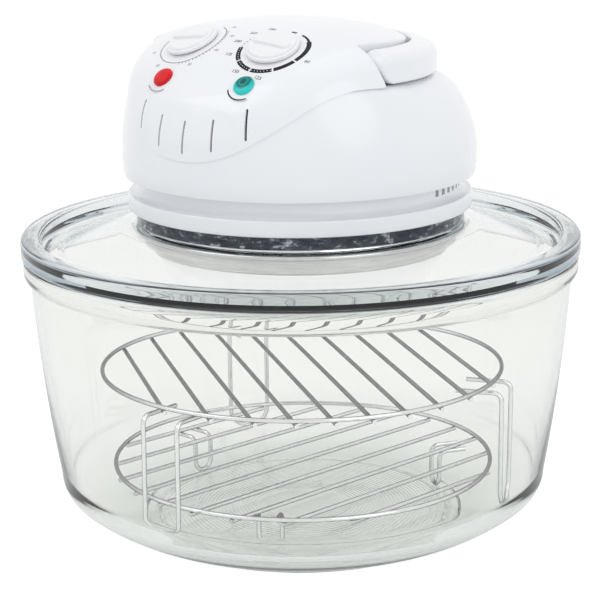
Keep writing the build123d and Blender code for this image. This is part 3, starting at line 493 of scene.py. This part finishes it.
def rack(prefix, radius, z, pitch, count, direction, leg_r, leg_w, reach, angles):
    """Ring, parallel cross wires under it and three U legs under those."""
    t = np.linspace(0, 2 * np.pi, 193)[:-1]
    circle = np.stack([radius * np.cos(t), radius * np.sin(t), 0 * t + z], -1)
    ring = wire(circle, WIRE, closed=True)
    mesh_piece(prefix + "_ring_wire", *ring, CHROME, prefix, [prefix + "_ring"], 60)
    cross, low, overhang = [], z - 2 * WIRE - 0.05, 1.0
    a = math.radians(direction)
    along = np.array([math.cos(a), math.sin(a), 0])
    across = np.array([-math.sin(a), math.cos(a), 0])
    for offset in (np.arange(count) - (count - 1) / 2) * pitch:
        half = math.sqrt(radius ** 2 - offset ** 2) + overhang
        ends = np.array([-half, -half + 0.5, half - 0.5, half])
        cross.append(wire(ends[:, None] * along + offset * across + (0, 0, low), WIRE))
    mesh_piece(prefix + "_cross_wires", *merged(cross), CHROME, prefix, [prefix + "_wires"], 60)
    legs, bend = [], 5.0
    top, foot, half = z - 4 * WIRE - 0.1, foot_height(leg_r), leg_w / 2
    steps = ((reach, half, top), (0, half, top), (0, half, foot),
             (0, -half, foot), (0, -half, top), (reach, -half, top))
    for angle in angles:
        out, side = polar(angle, 1.0), np.cross((0, 0, 1.0), polar(angle, 1.0))
        corners = [out * (leg_r - d) + side * s + (0, 0, h) for d, s, h in steps]
        path = rounded_path(corners, (bend, half - 0.01, half - 0.01, bend), 10)
        legs.append(wire(path, WIRE))
    mesh_piece(prefix + "_leg_wires", *merged(legs), CHROME, prefix, [prefix + "_legs"], 60)


# ---- head: shared form -------------------------------------------------------------
CENTRE_Y = -13.0          # middle of the handle and of the cover's back
DECK = 284.5              # shelf under the handle
PROUD = 0.7               # cover outside the shell
COVER_BACK_R = 71.6       # cover's back, inside the handle


def smooth_curve(points, n=240):
    """Even samples of a Catmull-Rom curve through points."""
    p = np.asarray(points, float)
    p = np.concatenate([2 * p[:1] - p[1:2], p, 2 * p[-1:] - p[-2:-1]])
    spans = len(p) - 3
    u = np.linspace(0, spans - 1e-9, n)
    k, t = u.astype(int), (u % 1)[:, None]
    a, b, c, d = p[k], p[k + 1], p[k + 2], p[k + 3]
    square, cube = 2 * a - 5 * b + 4 * c - d, 3 * b - a - 3 * c + d
    return 0.5 * (2 * b + (c - a) * t + square * t ** 2 + cube * t ** 3)


SEAM = smooth_curve([(-116, 234), (-107, 244.5), (-96, 258.5), (-85, 269.5), (-72, 279),
                     (-57, 283.9), (-45, DECK), (-40, DECK)])
BROW = rounded_path([(-117, 252), (-100, 277.5), (-61, 316.5), (20, 315.8), (130, 289.5)],
                    (10, 100, 250), 60)    # middle line of the panel, front to back
CROWN_AXIS = 17.0         # height of the axis that the panel is turned about
BELLY_R, BELLY_Z = 107.2, 234.0            # widest section and its height


def seam_height(y):
    """Height of the seam between shell and cover at a depth; level over the shelf."""
    return np.interp(y, SEAM[:, 0], SEAM[:, 1])


def growth(z):
    """How far the sections have shrunk and leaned at a height."""
    return np.clip((z - BELLY_Z) / 56.0, 0, None) ** 2.1


def outside_round(p):
    """Distance outside the head's round sections: they shrink and lean back above the
    belly and draw in a little under it."""
    k = growth(p[..., 2])
    under = np.clip((BELLY_Z - p[..., 2]) / 10.6, 0, None)
    return np.hypot(p[..., 0], p[..., 1] + 13 * k) - (BELLY_R - 18 * k - 1.2 * under ** 2)


def panel_radius(y):
    """Radius of the crowned panel about its axis at a depth."""
    return np.interp(y, BROW[:, 0], BROW[:, 1]) - CROWN_AXIS


def above_panel(p, step=0.5):
    """Distance above the crowned panel, turned about a low axis along Y."""
    y = p[..., 1]
    slope = (panel_radius(y + step) - panel_radius(y - step)) / (2 * step)
    out = np.hypot(p[..., 0], p[..., 2] - CROWN_AXIS) - panel_radius(y)
    return out / np.sqrt(1 + slope ** 2)


def round_both(a, b, r):
    """Space inside both of two forms, their common edge rounded by r."""
    corner = np.hypot(np.maximum(a + r, 0), np.maximum(b + r, 0)) - r
    return np.where((a > -r) & (b > -r), corner, np.maximum(a, b))


def cover_form(p):
    """Signed distance of the cover: sections and panel, its back stepped in to a round
    back wall that leaves the handle its band."""
    body = round_both(outside_round(p) - PROUD, above_panel(p), 8.0)
    back = np.hypot(p[..., 0], p[..., 1] - CENTRE_Y) - COVER_BACK_R
    back = round_both(back, p[..., 1] - 50.0, 4.0)
    return round_both(body, np.minimum(p[..., 1] + 34.7, back), 0.9)


def shell_form(p):
    """Signed distance of the shell: sections under the shelf, softer towards the back."""
    soft = 1.5 + 9.5 * np.clip((p[..., 1] + 45.0) / 35.0, 0, 1)
    return round_both(outside_round(p), p[..., 2] - DECK, soft)


def cast(form, start, aim, far=200.0, steps=44):
    """Where rays from an inner point leave a form, by halving the stretch."""
    low = np.zeros(aim.shape[:-1])
    high = np.full(aim.shape[:-1], far)
    for _ in range(steps):
        mid = (low + high) / 2
        inside = form(start + aim * mid[..., None]) < 0
        low, high = np.where(inside, mid, low), np.where(inside, high, mid)
    return start + aim * ((low + high) / 2)[..., None]


def directions(psi, tilt):
    """Unit directions from a plan angle and an angle from straight up, in radians."""
    level = np.sin(tilt)
    return np.stack([np.sin(psi) * level, -np.cos(psi) * level, np.cos(tilt) + 0 * psi], -1)


def tilt_at(form, start, psi, wanted, low=0.2, high=2.2, steps=24):
    """Tilt at which each plan direction's surface point first comes down to a wanted
    height, from a coarse look downwards and then by halving."""
    look = np.linspace(low, high, 120)
    p = cast(form, start, directions(psi[None, :], look[:, None]))
    first = np.argmax(p[..., 2] <= wanted(p[..., 1]), axis=0)
    a, b = look[np.maximum(first - 1, 0)], look[first]
    for _ in range(steps):
        mid = (a + b) / 2
        p = cast(form, start, directions(psi, mid))
        above = p[..., 2] > wanted(p[..., 1])
        a, b = np.where(above, mid, a), np.where(above, b, mid)
    return (a + b) / 2


def fine_columns(extra, count):
    """Plan angles round the whole turn with more of them near given angles; those that
    all but coincide are dropped, since slivers between them would shade as stripes."""
    base = np.linspace(-math.pi, math.pi, count, endpoint=False)
    more = [a + np.linspace(-w, w, n) for a, w, n in extra]
    psi = np.sort(np.concatenate([base, *more]))
    return psi[np.diff(psi, prepend=-9.0) > 0.0018]


def head_cover():
    """The cover's skin, cast from an inner point down to the seam, with a wall inside."""
    start = np.array([0.0, -45.0, 262.0])
    corner, back = math.pi / 2 + math.atan2(11.2, 69.1), math.pi / 2 + 1.06
    extra = [(s * (corner - 0.03), 0.06, 26) for s in (-1, 1)]
    extra += [(s * back, 0.05, 12) for s in (-1, 1)]
    psi = fine_columns(extra, 420)
    last = tilt_at(cover_form, start, psi, lambda y: seam_height(y) + 0.3)
    t = np.concatenate([np.linspace(0.012, 0.62, 60, endpoint=False), np.linspace(0.62, 1, 76)])
    points = cast(cover_form, start, directions(psi[None, :], t[:, None] * last[None, :]))
    rows, cols = points.shape[:2]
    pole = cast(cover_form, start, np.array([[0.0, 0.0, 1.0]]))
    j = np.arange(cols)
    faces = grid_faces(rows, cols, wrap_cols=True)
    faces += np.stack([np.full(cols, rows * cols), (j + 1) % cols, j], -1).tolist()
    piece = mesh_piece("cover_panel", np.concatenate([points.reshape(-1, 3), pole]), faces,
                       WHITE, "lid_head", ["control_cover"], 50)
    face_from(piece, start)
    add_modifier(piece, "SOLIDIFY", thickness=2.5 * MM, offset=-1.0, use_even_offset=False)
    settle(piece)
    cut_slits(piece)


def face_from(piece, start):
    """Turns a skin so that its faces look away from an inner point."""
    faces = piece.data.polygons
    away = read(faces, "center") - np.asarray(start) * MM
    if np.einsum("ij,ij->", read(faces, "normal"), away) < 0:
        piece.data.flip_normals()


SLITS = ((-21.0, 258.5, 16.4), (-10.7, 250.6, 18.1), (-0.4, 248.2, 18.7),
         (10.3, 250.9, 18.1), (21.6, 258.2, 17.5))      # plan angle, foot, length


def subtract(piece, shapes):
    """Takes closed shapes away from a piece."""
    verts, faces = merged(shapes)
    mesh = bpy.data.meshes.new("blades")
    mesh.from_pydata((verts * MM).tolist(), [], faces)
    blades = add_object("blades", mesh)
    recalc = bmesh.new()
    recalc.from_mesh(mesh)
    bmesh.ops.recalc_face_normals(recalc, faces=recalc.faces)
    recalc.to_mesh(mesh)
    recalc.free()
    add_modifier(piece, "BOOLEAN", operation="DIFFERENCE", object=blades, solver="EXACT")
    settle(piece)
    bpy.data.objects.remove(blades)
    piece.data.set_sharp_from_angle(angle=math.radians(50))


def cut_slits(piece):
    """Cuts the five upright slits through the cover's front with round-ended blades."""
    shapes, half, near, far = [], 0.7, 84.0, 122.0
    t = np.linspace(0, np.pi, 9)
    for angle, bottom, length in SLITS:
        lower = np.stack([half * np.cos(t), bottom + half - half * np.sin(t)], -1)[::-1]
        upper = np.stack([half * np.cos(t), bottom + length - half + half * np.sin(t)], -1)
        ring = np.concatenate([lower, upper])
        out, side = polar(angle, 1.0), np.cross((0, 0, 1.0), polar(angle, 1.0))
        verts = [out * d + side * s + np.array([0, 0, z]) for d in (near, far) for s, z in ring]
        n = len(ring)
        faces = [[k, (k + 1) % n, n + (k + 1) % n, n + k] for k in range(n)]
        faces += [list(range(n))[::-1], list(range(n, 2 * n))]
        shapes.append((verts, faces))
    subtract(piece, shapes)


def head_shell():
    """The body's wall: outer skin from its skirt up to the seam, in over a ledge or the
    shelf, back under it and down the inside to a floor ring; rows join on themselves."""
    start, wall, foot = np.array([0.0, -8.0, 250.0]), 1.8, 223.4
    ledge_width, deck_hole_r, floor_hole_r = 4.5, 66.0, 98.2
    psi = fine_columns([(s * 1.56, 0.34, 150) for s in (-1, 1)], 840)

    def lining(p):
        return shell_form(p) + wall

    def edge(y):
        return np.minimum(seam_height(y), DECK - 0.02)

    def skin(form, low, drop, rows):
        bottom = tilt_at(form, start, psi, lambda y: low + 0 * y, 0.8, 2.4)
        top = tilt_at(form, start, psi, lambda y: edge(y) - drop, 0.3, 1.9)
        t = np.linspace(0, 1, rows)[:, None]
        return cast(form, start, directions(psi[None, :], bottom * (1 - t) + top * t))

    outer = skin(shell_form, foot, 0.0, 62)
    inner = skin(lining, foot + wall, wall, 12)
    rim = outer[-1]
    level = rim[:, :2] - (0, CENTRE_Y)
    reach = np.linalg.norm(level, axis=1)
    share = np.clip((rim[:, 1] + 80.0) / 38.0, 0, 1)
    share = share * share * (3 - 2 * share)
    hole = (reach - ledge_width) * (1 - share) + deck_hole_r * share

    def ledge(part, drop):
        scale = ((1 - part) * reach + part * hole) / reach
        return np.concatenate([level * scale[:, None] + (0, CENTRE_Y), rim[:, 2:] - drop], 1)

    def floor(z):
        flat = outer[0, :, :2]
        flat = flat * (floor_hole_r / np.linalg.norm(flat, axis=1))[:, None]
        return np.concatenate([flat, np.full((len(psi), 1), z)], 1)

    grid = np.stack([*outer, *(ledge(part, 0.0) for part in (0.1, 0.4, 0.7, 1.0)),
                     ledge(1.0, wall), ledge(0.7, wall), *inner[::-1],
                     floor(foot + wall), floor(foot)])
    faces = grid_faces(*grid.shape[:2], wrap_cols=True, wrap_rows=True)
    piece = mesh_piece("body_shell", grid.reshape(-1, 3), faces, WHITE, "lid_head",
                       ["head_shell"], 35)
    outwards(piece)


def base_ring():
    """Neck moulding: band on the lid, hollow cove and an upright neck with vent slots;
    the slots are grid cells left out before the wall gets its thickness. A black ring
    stands behind them as painted shade, so the slots read dark."""
    band_r, neck_r, slot_z, slot_top = 104.3, 97.5, 216.5, 221.5
    slots, first, width = 41, 93.0, 3.7 / neck_r
    pitch = math.radians((360 - 2 * first) / (slots - 1))
    centres = math.radians(first) + pitch * np.arange(slots)
    edges = np.sort(np.concatenate([centres - width / 2, centres + width / 2]))
    front = np.linspace(edges[-1] - 2 * math.pi, edges[0], 140)[1:-1]
    psi = np.concatenate([front, edges])
    outline = np.concatenate([
        trace((88, 203.0), ((103.4, 203.0), 3), ((104.0, 203.3), (band_r, 203.9), 4),
              ((band_r, 211.6), 4), ((104.0, 212.3), (103.3, 212.6), 4),
              ((99.6, 213.7), (neck_r, 216.4), 8), ((neck_r, slot_z), 1),
              ((neck_r, slot_top), 1), ((neck_r, 226.0), 3)),
        [(neck_r, 226.0)]])
    grid = np.stack([outline[:, None, 0] * np.sin(psi), -outline[:, None, 0] * np.cos(psi),
                     outline[:, 1:2] + 0 * psi], -1)
    keep = np.ones((len(outline), len(psi)), bool)
    row = int(np.argmin(np.abs(outline[:, 1] - slot_z)))
    keep[row, len(front) + 2 * np.arange(slots)] = False
    piece = mesh_piece("base_neck", grid.reshape(-1, 3),
                       grid_faces(len(outline), len(psi), wrap_cols=True, keep=keep),
                       WHITE_SATIN, "lid_head", ["base_ring"], 50)
    face_from(piece, (0, 0, 212))
    add_modifier(piece, "SOLIDIFY", thickness=2.4 * MM, offset=-1.0, use_even_offset=False)
    settle(piece)
    piece.data.set_sharp_from_angle(angle=math.radians(50))
    # Painted shade: a black ring inside the neck, where there is only shade, darkens the slots.
    shade_ring_outline = trace((93.6, 214.5), ((94.6, 214.5), 1), ((94.6, 224.0), 1), ((93.6, 224.0), 1),
                  ((93.6, 214.5), 1))
    lathe("vent_painted_shade", shade_ring_outline, BLACK_INK, "lid_head", turns=96)


HANDLE_IN, HANDLE_OUT, HANDLE_LOW = 74.5, 90.0, 285.4
NOSE, PIVOT_Y = 9.4, -25.0                 # round end of each arm, about its pivot
PIVOT_Z = HANDLE_LOW + NOSE


def handle_form(p):
    """Signed distance of the handle: a band under the panel's form with a soft outer
    edge, ended by a round nose about the pivot."""
    r, y, z = np.hypot(p[..., 0], p[..., 1] - CENTRE_Y), p[..., 1], p[..., 2]
    top = np.maximum(above_panel(p) + 1.0, z - PIVOT_Z - NOSE)
    band = round_both(r - HANDLE_OUT, top, 5.0)
    band = round_both(band, HANDLE_IN - r, 1.6)
    band = round_both(band, HANDLE_LOW - z, 1.2)
    nose = np.where(y < PIVOT_Y, np.hypot(y - PIVOT_Y, z - PIVOT_Z), 0.0) - NOSE
    return np.maximum(band, nose)


def handle():
    """Handle skin: sections across a line round the band, each cast out from it."""
    line_r, near, thick = (HANDLE_IN + HANDLE_OUT) / 2, 0.3, 30.0
    lag = math.asin((CENTRE_Y - PIVOT_Y) / line_r)
    a = np.concatenate([-lag + np.linspace(0, near, 12, endpoint=False),
                        np.linspace(near - lag, math.pi + lag - near, 150),
                        math.pi + lag - near + np.linspace(0, near, 13)[1:]])
    turn = np.linspace(0, 2 * np.pi, 72, endpoint=False)
    line = np.stack([line_r * np.cos(a), line_r * np.sin(a) + CENTRE_Y, 0 * a + PIVOT_Z], -1)
    out = np.stack([np.cos(a), np.sin(a), 0 * a], -1)
    aim = (np.cos(turn)[None, :, None] * out[:, None, :]
           + np.sin(turn)[None, :, None] * np.array([0, 0, 1.0]))
    body = cast(handle_form, line[:, None, :], aim, thick)
    ends = []
    lean = np.linspace(0, np.pi / 2, 16)[1:, None, None]
    for k, way in ((0, -1.0), (-1, 1.0)):
        ahead = np.array([-math.sin(a[k]), math.cos(a[k]), 0]) * way
        fan = np.cos(lean) * aim[k][None] + np.sin(lean) * ahead
        ends.append(cast(handle_form, line[k], fan, thick))
    grid = np.concatenate([ends[0][::-1], body, ends[1]])
    faces = grid_faces(*grid.shape[:2], wrap_cols=True)
    piece = mesh_piece("carry_handle", grid.reshape(-1, 3), faces, WHITE, "handle", ["handle"], 60)
    add_modifier(piece, "WELD", merge_threshold=0.01 * MM)
    settle(piece)
    outwards(piece)
    piece.data.set_sharp_from_angle(angle=math.radians(60))


# ---- panel fittings ----------------------------------------------------------------
def panel_height(x, y):
    """Height of the crowned panel over a plan point."""
    return CROWN_AXIS + np.sqrt(panel_radius(y) ** 2 - x ** 2)


def panel_frame(x, y):
    """Origin and three axes on the panel: across, up the slope and outwards."""
    step = 0.5
    dx = np.array([2 * step, 0, panel_height(x + step, y) - panel_height(x - step, y)])
    dy = np.array([0, 2 * step, panel_height(x, y + step) - panel_height(x, y - step)])
    out = np.cross(dx, dy)
    out /= np.linalg.norm(out)
    across = dx / np.linalg.norm(dx)
    return np.array([x, y, float(panel_height(x, y))]), across, np.cross(out, across), out


def on_panel(x, y, local, lift=0.0):
    """Local points (across, up the slope, outwards) as places in the head."""
    origin, across, up, out = panel_frame(x, y)
    local = np.asarray(local, float)
    return origin + local[:, 0:1] * across + local[:, 1:2] * up + (local[:, 2:3] + lift) * out


def printed(x, y, flat, lift=0.08):
    """Flat local points (across, up the slope) laid on the curved panel."""
    flat = np.asarray(flat, float)
    origin, across, up, out = panel_frame(x, y)
    p = origin + flat[:, 0:1] * across + flat[:, 1:2] * up
    for _ in range(4):
        gap = p[:, 2] - panel_height(p[:, 0], p[:, 1])
        p = p - (gap * out[2])[:, None] * out
    return p + lift * out


def band(r0, r1, a0, a1):
    """Part of a flat ring between two radii and two angles in degrees, a few rows wide."""
    n = max(4, int(abs(a1 - a0) / 3) + 2)
    a = np.radians(np.linspace(a0, a1, n))
    r = np.linspace(r0, r1, 3)
    grid = np.stack([r[:, None] * np.cos(a), r[:, None] * np.sin(a)], -1)
    return grid.reshape(-1, 2), grid_faces(3, n)


def bar(cx, cy, angle, length, width):
    """Small flat oblong."""
    a = math.radians(angle)
    u, v = np.array([math.cos(a), math.sin(a)]), np.array([-math.sin(a), math.cos(a)])
    s = np.linspace(-0.5, 0.5, 4)
    side = np.array([-0.5, 0.5])[:, None, None]
    grid = np.array([cx, cy]) + s[None, :, None] * length * u + side * width * v
    return grid.reshape(-1, 2), grid_faces(2, 4)


def number(text, cx, cy, size):
    """A plain number as flat shapes, centred."""
    curve = bpy.data.curves.new("number", "FONT")
    curve.body = text
    curve.size = size
    curve.align_x = "CENTER"
    curve.align_y = "CENTER"
    curve.resolution_u = 2
    holder = add_object("number", curve)
    graph = bpy.context.evaluated_depsgraph_get()
    mesh = bpy.data.meshes.new_from_object(holder.evaluated_get(graph))
    flat = read(mesh.vertices, "co")[:, :2] + (cx, cy)
    faces = [list(p.vertices) for p in mesh.polygons]
    bpy.data.objects.remove(holder)
    bpy.data.meshes.remove(mesh)
    return flat, faces


def print_piece(name, x, y, shapes, material, lift=0.08):
    """Printed shapes of one colour as one thin piece on the panel."""
    verts, faces = merged(shapes)
    piece = mesh_piece(name, printed(x, y, verts, lift), faces, material, "lid_head", (), 60)
    if (read(piece.data.polygons, "normal") @ panel_frame(x, y)[3]).sum() < 0:
        piece.data.flip_normals()


def spot(radius, angle):
    """Flat point at a radius and an angle in degrees."""
    a = math.radians(angle)
    return radius * math.cos(a), radius * math.sin(a)


def dial_prints():
    """Scales round the two dials: a heavy graduated ring and numbers for heat, a fine
    ring with ticks and numbers for time, and a small arc under each lens."""
    r0, r1 = 19.2, 22.0
    mid = (r0 + r1) / 2
    parts = ((-168, -133), (-130, -96), (-93, -56), (-53, -18), (-15, 44))
    heavy = [band(r0, r1, a0, a1) for a0, a1 in parts]
    heavy += [band(r0 + 0.7, r1 - 0.6, 44, 74), bar(-1, 21.2, 0, 3.6, 1.5)]
    heavy += [bar(*spot(mid, a), a + 90, 0.7, 0.7) for a in np.arange(112, 190, 7.0)]
    for text, a in (("200", 178), ("175", -152), ("150", -112), ("125", -75), ("60", -8),
                    ("225", 152), ("250", 128)):
        heavy.append(number(text, spot(27.0, a)[0], spot(25.5, a)[1], 3.4))
    print_piece("heat_scale", DIAL_X, DIAL_Y, heavy, BLACK_INK)
    nicks = [bar(*spot(mid, a), a, 0.5, 0.5) for a in np.arange(-164, -56, 5.6)]
    print_piece("heat_scale_nicks", DIAL_X, DIAL_Y, nicks, WHITE, 0.14)
    fine = [band(20.4, 21.0, -190, 62)]
    fine += [bar(*spot(21.6, a), a, 1.6, 0.45) for a in np.arange(-80, 40, 6.0)]
    for text, a in (("10", -158), ("20", -118), ("30", -62), ("40", -22), ("50", 14), ("60", 48)):
        fine.append(number(text, spot(26.0, a)[0], spot(25.0, a)[1], 3.0))
    print_piece("time_scale", -DIAL_X, DIAL_Y, fine, GREY_INK)
    print_piece("power_arc", -LENS_X, LENS_Y, [band(9.6, 10.2, -150, -60)], GREY_INK)
    print_piece("heat_arc", LENS_X, LENS_Y, [band(9.4, 10.2, -150, -50)], BLACK_INK)


def turned(profile, turns=96):
    """Turned local form from a profile of radii and heights, closed below and on top."""
    t = 2 * np.pi * np.arange(turns) / turns
    r, h = profile[:, 0:1], profile[:, 1:2]
    grid = np.stack([r * np.cos(t), r * np.sin(t), h + 0 * t], -1)
    return capped(grid)


def capped(grid):
    """Rows of points joined to a form, its first and last row closed by a face."""
    rows, cols = grid.shape[:2]
    faces = grid_faces(rows, cols, wrap_cols=True)
    faces += [list(range(cols))[::-1], list(range((rows - 1) * cols, rows * cols))]
    return grid.reshape(-1, 3), faces


def knob(name, side, node):
    """Low round knob: soft skirt, flat top and a shallow rounded grip across it."""
    skirt = rounded_path([(15.5, 0.0), (15.5, 1.7), (14.1, 2.0), (13.9, 3.6), (0.4, 3.75)],
                         (0.6, 0.3, 1.3), 6)
    x, y = 25.5 / 2, 6.6 / 2
    grip = rounded_path([(0, -y), (x, -y), (x, y), (-x, y), (-x, -y), (0, -y)], (3.0,) * 4, 6)[:-1]
    levels = [(1.0, 2.6), (1.0, 3.9), (0.97, 4.8), (0.92, 5.25), (0.82, 5.4)]
    grid = np.stack([np.stack([grip[:, 0] * s, grip[:, 1] * (s - 0.1 * (z > 4)),
                               0 * grip[:, 0] + z], -1) for s, z in levels])
    verts, faces = merged([turned(skirt), capped(grid)])
    piece = mesh_piece(name, on_panel(side * DIAL_X, DIAL_Y, verts, 0.3), faces, KNOB_WHITE,
                       node, [node], 40)
    outwards(piece)


def lens(name, side, material, node):
    """Domed lens with a low shoulder in its hole."""
    profile = rounded_path([(6.3, -2.4), (6.3, 0.9), (5.2, 2.0), (0.3, 2.35)], (0.5, 1.6), 8)
    verts, faces = turned(profile, 64)
    piece = mesh_piece(name, on_panel(side * LENS_X, LENS_Y, verts), faces, material,
                       "lid_head", [node], 40)
    outwards(piece)


# ---- drum, seal and clamp ----------------------------------------------------------
def drum():
    """Spun steel can with a rolled lower lip."""
    outline = trace(
        (87.5, 177.5), ((91, 176.9), 2), ((92.9, 177.1), (93.5, 178.6), 5), ((93.5, 202.0), 10),
        ((92.9, 202.7), 1), ((9.0, 202.7), 4), ((9.0, 201.7), 1), ((92.5, 201.7), 4),
        ((92.5, 179.6), 4), ((91.9, 178.6), 1), ((87.5, 178.5), 1))
    lathe("drum_can", outline, STEEL, "lid_head", ["heater_drum"])


def clamp():
    """Bright ring under the lid's land."""
    outline = trace((93.8, 188.3), ((100.4, 188.3), 2), ((101, 189.2), (100.4, 190.1), 4),
                    ((93.8, 190.1), 2), ((93.8, 188.3), 1))
    lathe("clamp_band", outline, BRIGHT, "lid_head", ["clamp_ring"], 192)


def seal_material():
    """Dark, part metallic rubber with painted glints: cells of pale flecks, painted highlights, on
    near black.
    """
    material, tree = new_material("seal_dark")
    painted_glint_noise = noise(tree, object_place(tree, (1, 1, 1.8)), 150.0, 4.0, 0.7)
    # The palest stop paints glints: highlights painted on the dark band.
    colours = [(0.42, (0.012, 0.016, 0.028)), (0.56, (0.05, 0.06, 0.08)),
               (0.66, (0.42, 0.45, 0.50))]
    return principled(
        material, Roughness=0.25, Metallic=0.6, Coat_Weight=0.5, Coat_Roughness=0.1,
        Base_Color=ramp(tree, painted_glint_noise, colours), Normal=bump(tree, painted_glint_noise, 0.5, 0.0006))


def seal():
    """Seal band round the drum between the lid's land and the base ring."""
    outline = trace((93.8, 194.9), ((99.0, 194.9), 2), ((99.6, 195.1), (99.8, 195.7), 4),
                    ((99.5, 198.8), (99.8, 201.9), 8), ((99.6, 202.5), (99.0, 202.7), 4),
                    ((93.8, 202.7), 2), ((93.8, 194.9), 2))
    lathe("seal_band", outline, seal_material(), "lid_head", ["lid_seal"])


# ---- parts kept as they are --------------------------------------------------------
def dress_kept():
    """Finishes on the CAD parts that keep their own shape."""
    moulded = dict(roughness=0.4, coat=0.0)
    finishes = (
        (glass("lamp_quartz", (1, 1, 1, 1), (0.9, 0.9, 0.85, 1), 2.0), ["halogen_lamp"]),
        (plastic("ceramic_cap", (0.82, 0.80, 0.75), (0.70, 0.68, 0.63), 0.5, relief=0.2, coat=0.0),
         ["lamp_end_caps", "terminal_block"]),
        (metal("plated_steel", (0.62, 0.61, 0.58), (0.48, 0.47, 0.45), 0.32, 50.0),
         ["lamp_clips", "motor_brackets", "motor_posts", "motor_screws", "heat_shield",
          "thermal_cutout", "handle_pins", "timer_shaft", "thermostat_shaft", "cover_screws",
          "drum_screws", "convection_fan", "motor_shaft"]),
        (BRIGHT, ["reflector", "fan_guard"]),
        (metal("core_steel", (0.36, 0.35, 0.34), (0.24, 0.24, 0.24), 0.4, 40.0, (1, 1, 40)),
         ["motor_core", "motor_rotor"]),
        (metal("coil_copper", (0.72, 0.36, 0.18), (0.50, 0.22, 0.10), 0.35, 90.0, (1, 1, 30), 0.4),
         ["motor_coil"]),
        (plastic("fan_plastic_grey", (0.20, 0.20, 0.21), (0.15, 0.15, 0.16), **moulded),
         ["cooling_fan", "timer_mechanism", "thermostat"]),
        (plastic("black_moulding", (0.035, 0.035, 0.037), (0.02, 0.02, 0.022), **moulded),
         ["safety_switch", "switch_plunger", "cord_inlet", "indicator_lamps"]),
    )
    for material, names in finishes:
        for name in names:
            slots = nodes[name].material_slots
            if not len(slots):
                nodes[name].data.materials.append(material)
            for slot in slots:
                slot.material = material


# ---- studio ------------------------------------------------------------------------
LAMPS = (                 # name, place, size in metres, watts
    ("key", (-0.9, -1.3, 1.9), 1.6, 7.0),
    ("fill", (1.7, -0.5, 1.0), 1.4, 5.0),
    ("top", (0.1, 0.5, 2.2), 1.8, 3.0),
)


def surroundings():
    """World that lights softly and is white to the eye, in mirrors and through glass."""
    world = bpy.data.worlds.new("surroundings")
    bpy.context.scene.world = world
    world.use_nodes = True
    tree = world.node_tree
    tree.nodes.clear()
    soft = add_node(tree, "Background", {"Color": (0.97, 0.985, 1.0, 1), "Strength": 0.84})
    white = add_node(tree, "Background", {"Color": (1, 1, 1, 1), "Strength": 1.0})
    path = add_node(tree, "LightPath").outputs
    seen = maths(tree, "MAXIMUM", path["Is Camera Ray"], path["Is Transmission Ray"])
    seen = maths(tree, "MAXIMUM", seen, path["Is Glossy Ray"])
    sky = mixed(tree, seen, soft.outputs["Background"], white.outputs["Background"])
    add_node(tree, "OutputWorld", {"Surface": sky})


def floor():
    """Floor that keeps the shadow, is lifted to white for the eye and through glass, and
    fades out round the object."""
    material, tree = new_material("floor_white")
    path = add_node(tree, "LightPath").outputs
    through = maths(tree, "MULTIPLY", path["Is Transmission Ray"], 0.19)
    lift = maths(tree, "MULTIPLY_ADD", path["Is Camera Ray"], 0.5, through)
    glow = add_node(tree, "Emission", {"Color": (1, 1, 1, 1), "Strength": lift})
    diffuse = add_node(tree, "BsdfDiffuse", {"Color": (0.9, 0.9, 0.9, 1)})
    lit = add_node(tree, "AddShader", {0: diffuse.outputs["BSDF"], 1: glow.outputs["Emission"]})
    clear = add_node(tree, "BsdfTransparent")
    place = add_node(tree, "TexCoord").outputs["Object"]
    away = add_node(tree, "VectorMath", {0: place}, operation="LENGTH").outputs["Value"]
    fade = add_node(tree, "MapRange", {"Value": away, "From Min": 0.35, "From Max": 1.1})
    add_node(tree, "OutputMaterial", {"Surface": mixed(
        tree, fade.outputs["Result"], lit.outputs["Shader"], clear.outputs["BSDF"])})
    mesh = bpy.data.meshes.new("floor")
    half, z = 1.6, -0.0005
    corners = [(-half, -half, z), (half, -half, z), (half, half, z), (-half, half, z)]
    mesh.from_pydata(corners, [], [[0, 1, 2, 3]])
    mesh.materials.append(material)
    add_object("floor", mesh)


def lamp(name, place, size, power):
    """Soft round lamp aimed at the middle of the object."""
    data = bpy.data.lights.new(name, "AREA")
    data.shape = "DISK"
    data.size = size
    data.energy = power
    place = Vector(place)
    turn = (Vector((0, 0, 0.2)) - place).to_track_quat("-Z", "Y").to_matrix().to_4x4()
    add_object(name, data).matrix_world = Matrix.Translation(place) @ turn


add_camera()
bowl()
lid()
for name, sizes in RACKS.items():
    rack(name, **sizes)
drum()
clamp()
seal()
base_ring()
head_shell()
head_cover()
handle()
dial_prints()
knob("time_knob_white", -1, "timer_knob")
knob("heat_knob_white", 1, "thermostat_knob")
lens("red_lens", -1, RED_LENS, "power_lens")
lens("green_lens", 1, GREEN_LENS, "heat_lens")
dress_kept()
bpy.context.scene.view_settings.view_transform = "Standard"
surroundings()
floor()
for values in LAMPS:
    lamp(*values)
